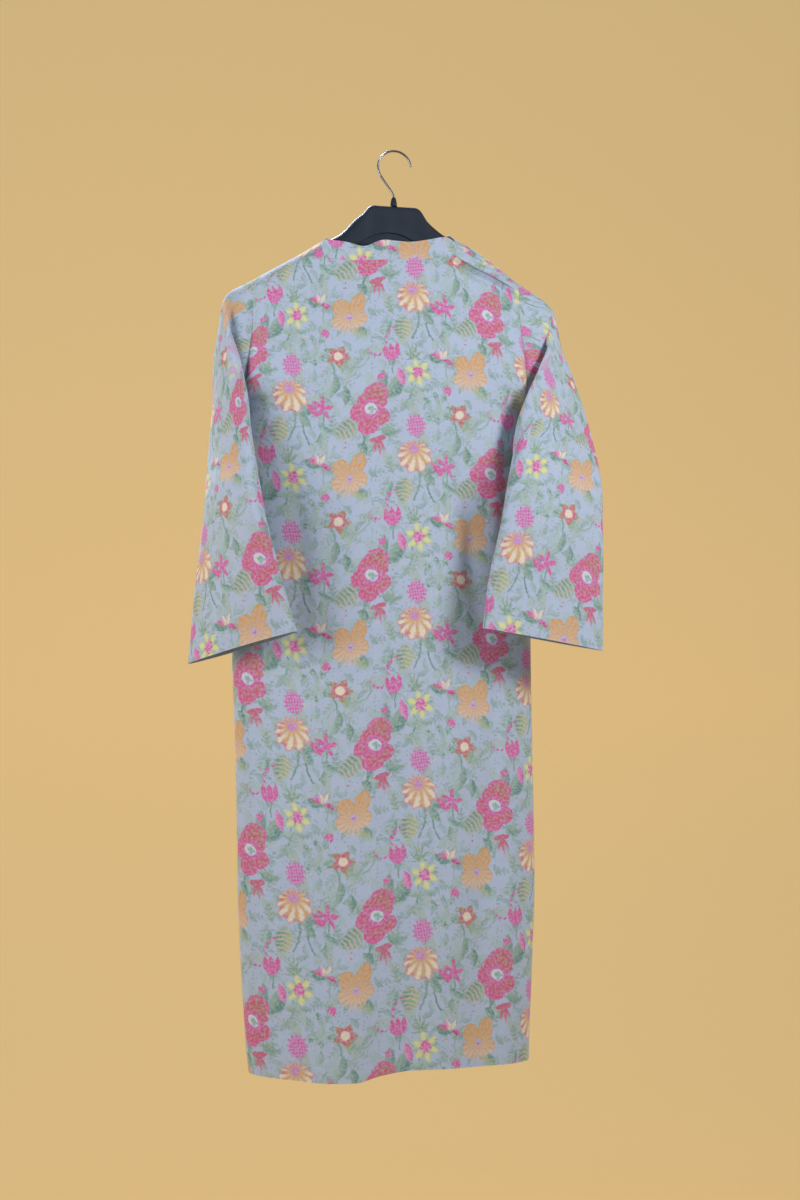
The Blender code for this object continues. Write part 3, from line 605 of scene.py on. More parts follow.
def band_grid(across, rows):
    """The stand collar: rows of points from the neck seam to its upper edge."""
    seam, turned = neck_loop(across)
    coarse = neck_loop(panel_columns(*COARSE_COLUMNS))[0]
    out = seam - coarse.mean(axis=0)
    out[:, 2] = 0
    out /= np.linalg.norm(out, axis=1)[:, None]
    in_front = out[:, 1] > 0
    turned = turned * in_front
    out[:, 0] *= in_front
    base = arch_base_z((seam[:, 0] - TOP_CENTRE_X) / TOP_HALF)
    climb = (seam[:, 2] - base) / SHOULDER_RADIUS
    lie = np.maximum(turned, smooth(climb, *BAND_LIES))
    side = np.stack([np.sign(seam[:, 0]), 0 * lie, 0 * lie], axis=-1)
    out = out + (side - out) * lie[:, None]
    lean = np.where(in_front, BAND_LEAN_FRONT, BAND_LEAN_BACK)
    lean = lean + (BAND_LEAN_SIDE - lean) * lie
    rise = -out * lean[:, None]
    rise[:, 2] = np.sqrt(1 - lean ** 2)
    low = np.maximum(turned, smooth(climb, *BAND_LOWERS))
    height = BAND_BACK + (BAND_SIDE - BAND_BACK) * low
    height = height - BAND_SLOPE * smooth(climb, *BAND_SLOPES) * (seam[:, 0] > 0)
    behind = ~in_front * (1 - smooth(climb, *BAND_CALMS))
    for x, width, wave in BAND_WAVES[1:]:
        height = height + wave * np.exp(-((seam[:, 0] - x) / width) ** 2) * behind
    shares = np.linspace(0, 1, rows + 1)[:, None, None]
    start = seam + rise * 2 * SEAM_GAP - side * SEAM_GAP * lie[:, None]
    return start[None] + rise[None] * height[None, :, None] * shares


def panel_columns(shoulder, climb, neck):
    """Columns across a panel, closer at the sides and where the neck seam climbs."""
    side_angle = np.linspace(math.asin(NECK_POINT), math.pi / 2, shoulder + 1)
    right = np.concatenate([
        stations((0, NECK_TURN, NECK_POINT), (neck, climb)), np.sin(side_angle)[1:]])
    return np.concatenate([-right[:0:-1], right])


# ---- Shells --------------------------------------------------------------------

def placed(name, data):
    """An object with this data, put in the scene."""
    thing = bpy.data.objects.new(name, data)
    bpy.context.scene.collection.objects.link(thing)
    return thing


def normals(grid, closed):
    """Unit vectors square to a grid of points, on its outer side."""
    down = np.gradient(grid, axis=0)
    if closed:
        along = np.roll(grid, -1, axis=1) - np.roll(grid, 1, axis=1)
    else:
        along = np.gradient(grid, axis=1)
    way = np.cross(along, down)
    return way / np.maximum(np.linalg.norm(way, axis=2), 1e-12)[..., None]


def cloth_shell(name, grid, print_at, marks, finish, closed=False, slit=None):
    """A thin shell of cloth on a grid of its outer points, rows from hem to seam.

    print_at gives each point's place on the cloth in metres, marks its distances from
    the edges.  slit is a column before which the shell is parted, with the first row.
    """
    rows, columns = grid.shape[:2]
    depth = SHELL + TURNING * (1 - smooth(marks["from_edge"], HEM_TURN - 0.002, HEM_TURN))
    inner = grid - normals(grid, closed) * depth[..., None]
    wide = columns + 1 if closed else columns
    ids = np.arange(rows * columns).reshape(rows, columns)
    ids = np.concatenate([ids, ids[:, :1]], axis=1) if closed else ids.copy()
    keep = np.ones((rows - 1, wide - 1), dtype=bool)
    if slit:
        place, first_row = slit
        ids[:first_row + 1, place] = ids[:first_row + 1, place - 1]
        keep[:, place - 1] = False
    corner = np.arange(rows * wide).reshape(rows, wide)

    def quads(of):
        faces = np.stack([of[:-1, :-1], of[:-1, 1:], of[1:, 1:], of[1:, :-1]], axis=-1)
        return faces[keep]

    outside, spots = quads(ids), quads(corner)
    count = rows * columns
    edges = np.concatenate([outside[:, [k, (k + 1) % 4]] for k in range(4)])
    edge_spots = np.concatenate([spots[:, [k, (k + 1) % 4]] for k in range(4)])
    span = edges.max() + 1
    forward = edges[:, 0].astype(np.int64) * span + edges[:, 1]
    backward = edges[:, 1].astype(np.int64) * span + edges[:, 0]
    rim = ~np.isin(forward, backward)
    edges, edge_spots = edges[rim], edge_spots[rim]
    rim_faces = np.stack([edges[:, 1], edges[:, 0], edges[:, 0] + count,
                          edges[:, 1] + count], axis=-1)
    faces = np.concatenate([outside, outside[:, ::-1] + count, rim_faces])

    mesh = bpy.data.meshes.new(name)
    points = np.concatenate([grid.reshape(-1, 3), inner.reshape(-1, 3)])
    mesh.from_pydata(points.tolist(), [], faces.tolist())

    flat = print_at.reshape(-1, 2)
    middle = (flat.min(axis=0) + flat.max(axis=0)) / 2
    size = flat.max(axis=0) - flat.min(axis=0)
    half = (flat - middle) / size * (0.48, 0.97)
    left, right = half + (0.25, 0.5), half + (0.75, 0.5)
    outer_rim = half[edge_spots] * 1.008 + (0.25, 0.5)
    rim_bake = np.stack([left[edge_spots[:, 1]], left[edge_spots[:, 0]],
                         outer_rim[:, 0], outer_rim[:, 1]], axis=1)
    bake = np.concatenate([left[spots], right[spots[:, ::-1]], rim_bake])
    rim_print = flat[edge_spots[:, [1, 0, 0, 1]]]
    laid = np.concatenate([flat[spots], flat[spots[:, ::-1]], rim_print])
    for layer, values in (("cloth", laid), ("OFBake", bake)):
        mesh.uv_layers.new(name=layer).data.foreach_set("uv", values.reshape(-1))

    for mark, values in marks.items():
        attribute = mesh.attributes.new(mark, "FLOAT", "POINT")
        attribute.data.foreach_set("value", np.tile(values.reshape(-1), 2))
    wrong = mesh.attributes.new("wrong_side", "FLOAT", "POINT")
    wrong.data.foreach_set("value", np.repeat([0.0, 1.0], count))

    mesh.validate()
    mesh.shade_smooth()
    mesh.set_sharp_from_angle(angle=math.radians(50))
    mesh.materials.append(finish)
    return placed(name, mesh)


def cloth_places(grid, middle, foot, piece):
    """Each point's place on the printed cloth that its piece was cut from: across from
    the middle column, and up from the foot's height."""
    across = walked(grid, 1)
    across = across - across[:, [middle]]
    along = walked(grid, 0) + foot
    shift_u, shift_v = CUT_FROM[piece]
    return np.stack([across + shift_u, along + shift_v], axis=-1)


def turned_in(grid, places, marks, edges, closed=False):
    """The same cloth with a narrow turning at the edges that are sewn to another
    piece, so that two pieces meet with no gap between them."""
    for edge in edges:
        axis = 0 if edge in ("foot", "top") else 1
        last = edge in ("top", "right")
        at = grid.shape[axis] - 1 if last else 0
        inside = at - 1 if last else at + 1
        line, before = np.take(grid, at, axis), np.take(grid, inside, axis)
        way = line - before
        way /= np.maximum(np.linalg.norm(way, axis=-1), 1e-9)[:, None]
        inward = -np.take(normals(grid, closed), at, axis)
        lip = line + way * MEETING
        turning = lip + inward * TURNED_DEPTH + way * MEETING * 0.2
        extra = np.stack([lip, turning] if last else [turning, lip], axis=axis)
        grid = np.concatenate([grid, extra] if last else [extra, grid], axis=axis)
        added = (0, TURNED_ROWS) if last else (TURNED_ROWS, 0)
        wide = ((0, 0),) * axis + (added,) + ((0, 0),) * (1 - axis)
        places = np.pad(places, wide + ((0, 0),), mode="edge")
        marks = {name: np.pad(values, wide, mode="edge") for name, values in marks.items()}
    return grid, places, marks


def panel(side, name, finish):
    """The back (side -1) or the front (side 1)."""
    across = panel_columns(*PANEL_COLUMNS)
    up = stations((0.0, 1.0, 2.0, 3.0), BACK_ROWS if side < 0 else FRONT_ROWS)
    if side > 0:
        across = across[::-1]
    grid = panel_point(side, across[None, :], up[:, None])
    middle = len(across) // 2
    places = cloth_places(grid, middle, grid[0, middle, 2], "back" if side < 0 else "front")
    slit = None
    if side > 0:
        line = grid[:, middle, 2]
        below_fold = line[:sum(FRONT_ROWS[:2])]
        first = int(np.argmin(np.abs(below_fold - (line[-1] - SLIT_LENGTH))))
        open_share = np.clip((line - line[first]) / SLIT_LENGTH, 0, 1)
        open_share[:first + 1] = 0
        left_lip, right_lip = grid[:, middle].copy(), grid[:, middle].copy()
        left_lip[:, 0] += SLIT_HALF * open_share
        right_lip[:, 0] -= SLIT_HALF * open_share
        grid = np.concatenate([grid[:, :middle], left_lip[:, None], right_lip[:, None],
                               grid[:, middle + 1:]], axis=1)
        places = np.insert(places, middle, places[:, middle], axis=1)
        slit = (middle + 1 + TURNED_ROWS, first)
    from_hem = walked(grid, 0)
    from_seam = from_hem[-1:] - from_hem
    from_side = np.minimum(walked(grid, 1), walked(grid[:, ::-1], 1)[:, ::-1])
    yoke = smooth(np.broadcast_to(up[:, None], from_side.shape), 0.96, 1.0)
    at_neck = (yoke > 0) & (np.abs(grid[..., 0] - TOP_CENTRE_X) < TOP_HALF * NECK_SHARE)
    marks = {"from_edge": from_hem, "from_seam": np.minimum(from_seam, from_side),
             "from_neck": np.where(at_neck, from_seam, 1.0)}
    grid, places, marks = turned_in(grid, places, marks, ("top", "left", "right"))
    return cloth_shell(name, grid, places, marks, finish, slit=slit)


def sleeve(hand, table, name, finish):
    """A sleeve, from its cuff up to the armhole."""
    shares = stations((0.0, 0.2, 1.0), SLEEVE_ROWS)
    grid = sleeve_grid(hand, table, SLEEVE_AROUND, shares)[::-1]
    if hand < 0:
        grid = np.roll(grid[:, ::-1], 1, axis=1)
    around = np.concatenate([grid, grid[:, :1]], axis=1)
    piece = "left_sleeve" if hand < 0 else "right_sleeve"
    places = cloth_places(around, SLEEVE_AROUND // 2, 0.0, piece)
    from_cuff = walked(grid, 0)
    marks = {"from_edge": from_cuff, "from_seam": from_cuff[-1:] - from_cuff,
             "from_neck": np.ones_like(from_cuff)}
    longer, _, marks = turned_in(grid, places[:, :-1], marks, ("top",), closed=True)
    places = np.pad(places, ((0, TURNED_ROWS), (0, 0), (0, 0)), mode="edge")
    return cloth_shell(name, longer, places, marks, finish, closed=True)


def neck_band(name, finish):
    """The stand collar, parted at the front slit."""
    grid = band_grid(panel_columns(*PANEL_COLUMNS), BAND_ROWS)
    places = cloth_places(grid, grid.shape[1] // 2, 0.0, "neck_band")
    height = walked(grid, 0)
    marks = {"from_edge": np.full_like(height, 1.0), "from_seam": height,
             "from_neck": np.ones_like(height)}
    grid, places, marks = turned_in(grid, places, marks, ("foot",))
    return cloth_shell(name, grid, places, marks, finish)


# ---- Finishes ------------------------------------------------------------------

def dye(red, green, blue):
    """A colour read off a shade card in the usual 0 to 255 steps, as light."""
    steps = np.array([red, green, blue]) / 255
    light = np.where(steps <= 0.04045, steps / 12.92, ((steps + 0.055) / 1.055) ** 2.4)
    return (*light.tolist(), 1.0)


class Thread:
    """One value in a finish; arithmetic on it adds Math nodes."""

    def __init__(self, finish, socket):
        self.finish = finish
        self.socket = socket

    def __add__(self, other):
        return self.finish.math("ADD", self, other)

    __radd__ = __add__

    def __sub__(self, other):
        return self.finish.math("SUBTRACT", self, other)

    def __rsub__(self, other):
        return self.finish.math("SUBTRACT", other, self)

    def __mul__(self, other):
        return self.finish.math("MULTIPLY", self, other)

    __rmul__ = __mul__

    def __lt__(self, other):
        return self.finish.math("LESS_THAN", self, other)

    def __gt__(self, other):
        return self.finish.math("GREATER_THAN", self, other)

    def __abs__(self):
        return self.finish.math("ABSOLUTE", self)


class Finish:
    """A material built from nodes, one for each finish of the tunic and its hanger."""

    def __init__(self, name, roughness=0.5, **uniform):
        self.material = bpy.data.materials.new(name)
        self.material.use_nodes = True
        self.tree = self.material.node_tree
        self.shader = self.tree.nodes["Principled BSDF"]
        self.shader.inputs["Roughness"].default_value = roughness
        for socket, value in uniform.items():
            self.shader.inputs[socket.replace("_", " ")].default_value = value

    def node(self, kind, settings=None, sockets=None, out=0):
        """Add a node: its settings first, then its sockets' values or links."""
        made = self.tree.nodes.new("ShaderNode" + kind)
        for name, value in (settings or {}).items():
            setattr(made, name, value)
        for name, value in (sockets or {}).items():
            if isinstance(value, Thread):
                self.tree.links.new(value.socket, made.inputs[name])
            else:
                made.inputs[name].default_value = value
        return Thread(self, made.outputs[out])

    def other(self, thread, out):
        """Another of the outputs of the node that a thread comes from."""
        return Thread(self, thread.socket.node.outputs[out])

    def math(self, operation, *values):
        return self.node("Math", {"operation": operation}, dict(enumerate(values)))

    def vector(self, operation, *values, out=0):
        return self.node("VectorMath", {"operation": operation}, dict(enumerate(values)), out)

    def along(self, place, way):
        """How far a place lies along a way."""
        return self.vector("DOT_PRODUCT", place, way, out=1)

    def blend(self, mask, under, over):
        """The colour under, with over laid on it where mask is 1."""
        return self.node("Mix", {"data_type": "RGBA"}, {0: mask, 6: under, 7: over}, 2)

    def both(self, mask, other):
        """The lower of two masks, or of a mask and a strength."""
        return self.math("MINIMUM", mask, other)

    def step(self, value, low, high):
        """An even slope through 0 at low and 1 at high; blend() keeps to 0 and 1."""
        rise = 1 / (high - low)
        return self.math("MULTIPLY_ADD", value, rise, -low * rise)

    def soft(self, value, low, high):
        """A soft step from 0 at low to 1 at high."""
        return self.node("MapRange", {"interpolation_type": "SMOOTHSTEP"},
                         {0: value, 1: low, 2: high})

    def speckle(self, where, scale, detail=2.0, out=0):
        return self.node("TexNoise", {}, {"Vector": where, "Scale": scale, "Detail": detail}, out)

    def mark(self, name):
        """One of the cloth's marks, such as its distance from the hem."""
        return self.node("Attribute", {"attribute_name": name}, out=2)

    def feed(self, socket, value):
        self.tree.links.new(value.socket, self.shader.inputs[socket])


# ---- The print -----------------------------------------------------------------

GROUND = dye(184, 196, 218)
GROUND_DEEP = dye(173, 186, 209)
MAGENTA = dye(212, 100, 166)
FUCHSIA = dye(214, 88, 148)
ROSE = dye(206, 104, 122)
WINE = dye(190, 78, 116)
PINK = dye(226, 140, 186)
LILAC = dye(200, 166, 212)
ORANGE = dye(216, 166, 108)
OCHRE = dye(198, 154, 94)
PEACH = dye(228, 196, 170)
CREAM = dye(234, 218, 190)
LEMON = dye(220, 220, 146)
OLIVE = dye(168, 142, 82)
MINT = dye(206, 218, 214)
SAGE = dye(146, 170, 152)
FERN = dye(120, 154, 138)
DEEP_FERN = dye(104, 142, 130)
MOSS = dye(166, 182, 138)
MIST = dye(164, 188, 182)

LEAVES = (                  # base, heading, size and the two shades of each leaf
    ("u", "v", "turn", "length", "half_width", "bend", "dark", "light", "veins"),
    (0.018, 0.010, 58, 0.046, 0.0125, 0.4, DEEP_FERN, SAGE, 0),
    (0.020, 0.020, 96, 0.034, 0.0085, -0.3, FERN, SAGE, 0),
    (-0.014, -0.002, 218, 0.048, 0.0155, -0.3, FERN, SAGE, 8),
    (0.012, -0.028, -14, 0.026, 0.0070, 0.4, FERN, SAGE, 0),
    (0.048, -0.094, 262, 0.040, 0.0150, 0.1, FERN, MOSS, 7),
    (0.072, -0.088, 34, 0.030, 0.0080, 0.4, DEEP_FERN, SAGE, 0),
    (0.088, -0.108, 124, 0.028, 0.0072, -0.3, FERN, SAGE, 0),
    (0.078, 0.074, -24, 0.025, 0.0060, 0.5, DEEP_FERN, FERN, 0),
    (-0.034, 0.010, 94, 0.028, 0.0066, 0.3, DEEP_FERN, SAGE, 0),
    (-0.046, -0.028, 150, 0.030, 0.0070, -0.6, FERN, MIST, 0),
    (-0.062, 0.018, 66, 0.028, 0.0076, 0.5, SAGE, MIST, 0),
    (-0.004, 0.102, 152, 0.030, 0.0080, 0.5, FERN, MOSS, 0),
    (0.116, -0.064, 82, 0.032, 0.0066, 0.3, FERN, SAGE, 0),
    (0.040, 0.022, 20, 0.024, 0.0060, 0.6, SAGE, MIST, 0),
    (-0.006, -0.062, 124, 0.024, 0.0064, 0.4, DEEP_FERN, SAGE, 0),
    (0.022, -0.128, 76, 0.030, 0.0066, -0.5, FERN, MIST, 0),
    (0.128, -0.034, 96, 0.030, 0.0082, 0.4, SAGE, MOSS, 0),
)

STEMS = (                   # base, heading, length and bend of each stem
    ("u", "v", "turn", "length", "half_width", "bend", "shade"),
    (-0.018, -0.066, 84, 0.050, 0.0009, 0.10, FERN),
    (-0.012, -0.066, 72, 0.044, 0.0009, -0.12, DEEP_FERN),
    (0.056, -0.128, 82, 0.052, 0.0010, 0.12, FERN),
    (0.086, -0.130, 96, 0.050, 0.0009, -0.14, DEEP_FERN),
    (0.094, -0.126, 78, 0.044, 0.0008, 0.10, FERN),
    (0.052, 0.008, 92, 0.036, 0.0008, 0.12, FERN),
    (0.030, 0.044, 70, 0.032, 0.0008, -0.16, FERN),
    (-0.030, 0.062, 30, 0.034, 0.0007, 0.26, SAGE),
    (0.118, -0.040, 120, 0.036, 0.0008, 0.20, FERN),
    (0.104, 0.040, 64, 0.034, 0.0007, -0.20, SAGE),
)

BEADS = (                   # rows of berries along an arc
    ("u", "v", "turn", "length", "bend", "number", "radius", "shade"),
    (-0.004, 0.084, -16, 0.024, 0.30, 4, 0.0021, MAGENTA),
    (0.022, 0.088, 64, 0.026, -0.24, 3, 0.0029, MAGENTA),
    (-0.040, -0.052, 80, 0.020, 0.20, 3, 0.0013, ROSE),
    (0.064, -0.024, 10, 0.022, 0.30, 4, 0.0013, PEACH),
)

POPPY = (                   # the petals of the poppy, from its eye
    ("u", "v", "turn", "half_wide", "half_tall"),
    (0.0068, 0.0192, -16, 0.0175, 0.0160),
    (-0.0148, 0.0000, 14, 0.0142, 0.0130),
    (-0.0030, -0.0205, -10, 0.0152, 0.0142),
    (0.0130, -0.0128, 22, 0.0140, 0.0118),
    (-0.0070, 0.0128, 34, 0.0130, 0.0122),
    (0.0120, 0.0066, 0, 0.0104, 0.0090),
)

PANSY = (                   # the petals of the pansy, from its eye
    ("u", "v", "turn", "half_wide", "half_tall"),
    (0.0105, 0.0160, -14, 0.0112, 0.0172),
    (-0.0105, 0.0125, 20, 0.0120, 0.0138),
    (0.0118, -0.0050, 10, 0.0130, 0.0118),
    (-0.0110, -0.0070, -20, 0.0130, 0.0130),
    (-0.0010, -0.0190, 0, 0.0135, 0.0115),
)

BUTTERFLY_BUD = (           # narrow petals of the small bud: place, heading and size
    ("u", "v", "turn", "length", "half_width", "bend", "dark", "light"),
    (0.096, 0.066, 152, 0.017, 0.0038, 0.5, MAGENTA, ROSE),
    (0.098, 0.066, -24, 0.018, 0.0040, -0.4, WINE, MAGENTA),
    (0.096, 0.066, 104, 0.016, 0.0038, 0.2, CREAM, PINK),
    (0.099, 0.067, 62, 0.015, 0.0034, -0.2, CREAM, PEACH),
)


class Print(Finish):
    """The printed cotton: flowers laid one over another on a leafy ground."""

    def begin(self):
        """Lay the repeat over the cloth, as four tiles that overlap by half."""
        self.laid = self.node("UVMap", {"uv_map": "cloth"})
        self.mottle = self.speckle(self.laid, 270.0, 3.0)
        self.cloud = self.speckle(self.laid, 36.0, 2.0)
        wander = self.vector("SUBTRACT", self.speckle(self.laid, 130.0, 3.0, out=1),
                             (0.5, 0.5, 0.5))
        steps = self.along(self.laid, (1 / REPEAT_WIDTH, 0, 0))
        rises = self.along(self.laid, (
            -REPEAT_DROP / REPEAT_WIDTH / REPEAT_HEIGHT, 1 / REPEAT_HEIGHT, 0))
        even = self.node("CombineXYZ", {}, {0: steps, 1: rises, 2: 1.0})
        loose = (PRINT_WANDER / REPEAT_WIDTH, PRINT_WANDER / REPEAT_HEIGHT, 0)
        repeat = self.vector("MULTIPLY_ADD", wander, loose, even)
        self.tiles = {}
        for over in (0.0, 0.5):
            for up in (0.0, 0.5):
                moved = self.vector("SUBTRACT", repeat, (over, up, 0))
                self.tiles[over, up] = self.vector(
                    "WRAP", moved, (0.5, 0.5, 2), (-0.5, -0.5, 0))
        self.colour = self.blend(self.cloud, GROUND, GROUND_DEEP)

    def local(self, u, v, turn, wide, tall):
        """A motif's own coordinates, about (u, v) of the repeat and turned, as shares of
        its half width and half height."""
        steps = u / REPEAT_WIDTH
        rises = (v - steps * REPEAT_DROP) / REPEAT_HEIGHT
        over, up = round(steps * 2) / 2, round(rises * 2) / 2
        tile = self.tiles[over % 1, up % 1]
        cos, sin = math.cos(math.radians(turn)), math.sin(math.radians(turn))
        ways = ((REPEAT_WIDTH * cos + REPEAT_DROP * sin, REPEAT_HEIGHT * sin, wide),
                (REPEAT_DROP * cos - REPEAT_WIDTH * sin, REPEAT_HEIGHT * cos, tall))
        return [self.along(tile, (
            along / size, upward / size,
            -(along * (steps - over) + upward * (rises - up)) / size))
            for along, upward, size in ways]

    def lay(self, mask, shade):
        self.colour = self.blend(mask, self.colour, shade)

    def square(self, x, y):
        """Distance from a motif's middle, squared."""
        return self.math("MULTIPLY_ADD", x, x, y * y)

    def reach(self, x, y):
        """Distance from a motif's middle."""
        return self.math("SQRT", self.square(x, y))

    def angle(self, x, y):
        """Angle round a motif's middle."""
        return self.math("ARCTAN2", y, x)

    def lens(self, x):
        """The outline of a leaf or a stem along its length, 1 at the middle."""
        return x * self.math("MULTIPLY_ADD", x, -4, 4)

    def petals(self, angle, number, turn):
        """0 along the middle of each petal, 0.5 where two petals meet."""
        return self.math("PINGPONG", self.math("MULTIPLY_ADD", angle, number / math.tau, turn), 0.5)

    def joined(self, table, u, v):
        """Overlapping oval petals: 0 at each one's middle, 1 on the flower's rim."""
        nearest = None
        for du, dv, turn, wide, tall in table[1:]:
            out = self.square(*self.local(u + du, v + dv, turn, wide, tall))
            nearest = out if nearest is None else self.math("MINIMUM", nearest, out)
        return nearest

    def leaf(self, u, v, turn, length, half_width, bend, dark, light, veins=0):
        """A pointed leaf from its base, in two shades, toothed and veined where asked."""
        x, y = self.local(u, v, turn, length, half_width)
        lens = self.lens(x)
        side = self.math("MULTIPLY_ADD", lens, bend, y)
        width = abs(side)
        shade = self.blend(self.math("MULTIPLY_ADD", side, 1.2, self.mottle),
                           dark, light)
        if veins:
            rib = self.math("SINE", self.math("MULTIPLY_ADD", x, veins * math.tau, width * -4.0))
            shade = self.blend(self.step(rib, 0.0, 1.6), shade, PEACH)
            lens = self.math("MULTIPLY_ADD", rib, 0.08, lens)
        self.lay((lens - width) * 3.2, shade)

    def stem(self, u, v, turn, length, half_width, bend, shade):
        """A thin stem that bends."""
        x, y = self.local(u, v, turn, length, length)
        lens = self.lens(x)
        side = abs(self.math("MULTIPLY_ADD", lens, bend, y))
        room = self.math("MINIMUM", lens * 2, 2 * half_width / length) - side
        self.lay(room * (length / half_width * 0.7), shade)

    def beads(self, u, v, turn, length, bend, number, radius, shade):
        """Berries in a row along an arc."""
        x, y = self.local(u, v, turn, length, length)
        lens = self.lens(x)
        side = self.math("MULTIPLY_ADD", lens, bend, y)
        along = self.math("WRAP", x, 0.5 / number, -0.5 / number)
        near = self.step(self.square(along, side), (radius / length) ** 2 * 1.3,
                         (radius / length) ** 2 * 0.6)
        self.lay(near * (lens > 0.0), shade)

    def strewn(self, tile, pitch):
        """Cells strewn over a tile: their own coordinates, each turned its own way,
        and three random shares."""
        along, upward = [self.along(self.tiles[tile], row) for row in (
            (REPEAT_WIDTH, 0, 0), (REPEAT_DROP, REPEAT_HEIGHT, 0))]
        place = self.node("CombineXYZ", {}, {0: along, 1: upward})
        settings = {"voronoi_dimensions": "2D"}
        sockets = {"Vector": place, "Scale": 1 / pitch, "Randomness": 0.9}
        chance = self.node("TexVoronoi", settings, sockets, 1)
        middle = self.other(chance, 2)
        turn = self.along(chance, (math.tau, 0, 0))
        own = self.node("VectorRotate", {"rotation_type": "Z_AXIS"}, {
            "Vector": self.vector("SUBTRACT", place, middle), "Angle": turn})
        return own, chance

    def foliage(self, tile, pitch, length, half_width, strength, dark, light):
        """Small leaves strewn over the ground."""
        own, chance = self.strewn(tile, pitch)
        x = self.along(own, (1 / length, 0, 0))
        y = self.along(own, (0, 1 / half_width, 0))
        lens = self.math("MULTIPLY_ADD", x, x * -1.0, 1.0)
        side = self.math("MULTIPLY_ADD", lens, 0.6, y)
        tone = self.along(chance, (0, 1, 0))
        shade = self.blend(self.math("MULTIPLY_ADD", side, 0.5, tone), dark, light)
        inside = (lens - abs(side)) * 2.5
        self.lay(self.both(inside, strength), shade)

    def sprigs(self, tile, pitch, length, strength, dark, light):
        """Twigs with pairs of leaflets strewn over the ground."""
        own, chance = self.strewn(tile, pitch)
        x = self.along(own, (1 / length, 0, 0))
        y = self.along(own, (0, 1 / length, 0))
        lens = self.math("MULTIPLY_ADD", x, x * -1.0, 1.0)
        side = abs(self.math("MULTIPLY_ADD", lens, 0.25, y))
        leaflet = self.math("PINGPONG", self.math("MULTIPLY_ADD", x, 2.6, side * 1.6), 0.5)
        room = self.math("MULTIPLY_ADD", lens * leaflet, 0.95, 0.02) - side
        tone = self.along(chance, (0, 0, 1))
        inside = room * 9.0 * (lens > 0.0)
        self.lay(self.both(inside, strength), self.blend(tone, dark, light))

    def flecks(self, tile, pitch, radius, strength):
        """Dots of mixed colours in loose drifts."""
        own, chance = self.strewn(tile, pitch)
        out = self.vector("LENGTH", own, out=1)
        red, green = [self.along(chance, row) for row in ((0, 1, 0), (0, 0, 1))]
        shade = self.blend(self.step(green, 0.55, 0.75), FERN, self.blend(
            self.step(red, 0.4, 0.6), LILAC, PEACH))
        drift = self.step(self.cloud, 0.46, 0.56)
        dots = self.both(self.step(out, radius * 1.3, radius * 0.7), drift)
        self.lay(self.both(dots, strength), shade)

    def poppy(self, u, v):
        """Ruffled petals that overlap, rose and olive above, magenta at their rims."""
        out = self.math("MULTIPLY_ADD", self.mottle, 0.36, self.joined(POPPY, u, v)) - 0.16
        x, y = self.local(u, v, -32, 0.0092, 0.0072)
        eye = self.square(x, y)
        rays = self.math("SINE", self.math(
            "MULTIPLY_ADD", self.angle(x, y), 17.0, self.mottle * 9.0))
        height = self.math("MULTIPLY_ADD", x, 0.10, y * 0.16)
        olive = self.step(self.math("MULTIPLY_ADD", self.mottle, 2.6, height), 1.25, 2.7)
        shade = self.blend(olive, ROSE, OLIVE)
        shade = self.blend(self.step(rays, -0.2, 2.4), shade, WINE)
        shade = self.blend(self.step(out, 0.3, 0.95), shade, MAGENTA)
        shade = self.blend(self.step(height, -0.1, -1.1), shade, FUCHSIA)
        shade = self.blend(self.step(eye, 4.2, 1.4), shade, MAGENTA)
        shade = self.blend(self.step(eye, 1.15, 0.8), shade, MINT)
        shade = self.blend(self.step(eye, 0.26, 0.10), shade, SAGE)
        self.lay(self.step(out, 1.04, 0.90), shade)

    def tassel(self, u, v):
        """Narrow petals that hang below the poppy."""
        x, y = self.local(u, v, 8, 0.0130, 0.0270)
        petal = self.petals(self.angle(x, y), 8, 0.0)
        room = self.math("MULTIPLY_ADD", petal, -1.25, 1.0) - self.reach(x, y)
        shade = self.blend(self.step(y, -1.1, -0.3), PINK, self.blend(
            self.step(self.mottle, 0.4, 0.6), ROSE, WINE))
        self.lay(room * 6 * (y < 0.14), shade)

    def pansy(self, u, v):
        """Ochre petals above, fading to peach below, about a lilac eye."""
        out = self.math("MULTIPLY_ADD", self.mottle, 0.35, self.joined(PANSY, u, v)) - 0.16
        x, y = self.local(u, v, 0, 0.0042, 0.0042)
        eye = self.square(x, y)
        rays = self.math("SINE", self.math(
            "MULTIPLY_ADD", self.angle(x, y), 19.0, self.mottle * 8.0))
        shade = self.blend(self.step(self.math(
            "MULTIPLY_ADD", self.mottle, 6.0, y), -2.0, 6.5), PEACH, ORANGE)
        shade = self.blend(self.step(rays, -0.2, 1.8), shade, OCHRE)
        rim = self.both(self.step(out, 0.6, 1.05), self.step(y, -3.0, 1.5))
        shade = self.blend(rim, shade, OCHRE)
        shade = self.blend(self.step(eye, 1.6, 0.8), shade, LILAC)
        shade = self.blend(self.step(eye, 0.45, 0.2), shade, MAGENTA)
        fade = self.step(y + self.mottle * 3.0, -4.8, -1.6)
        self.lay(self.both(self.step(out, 1.04, 0.88), fade), shade)

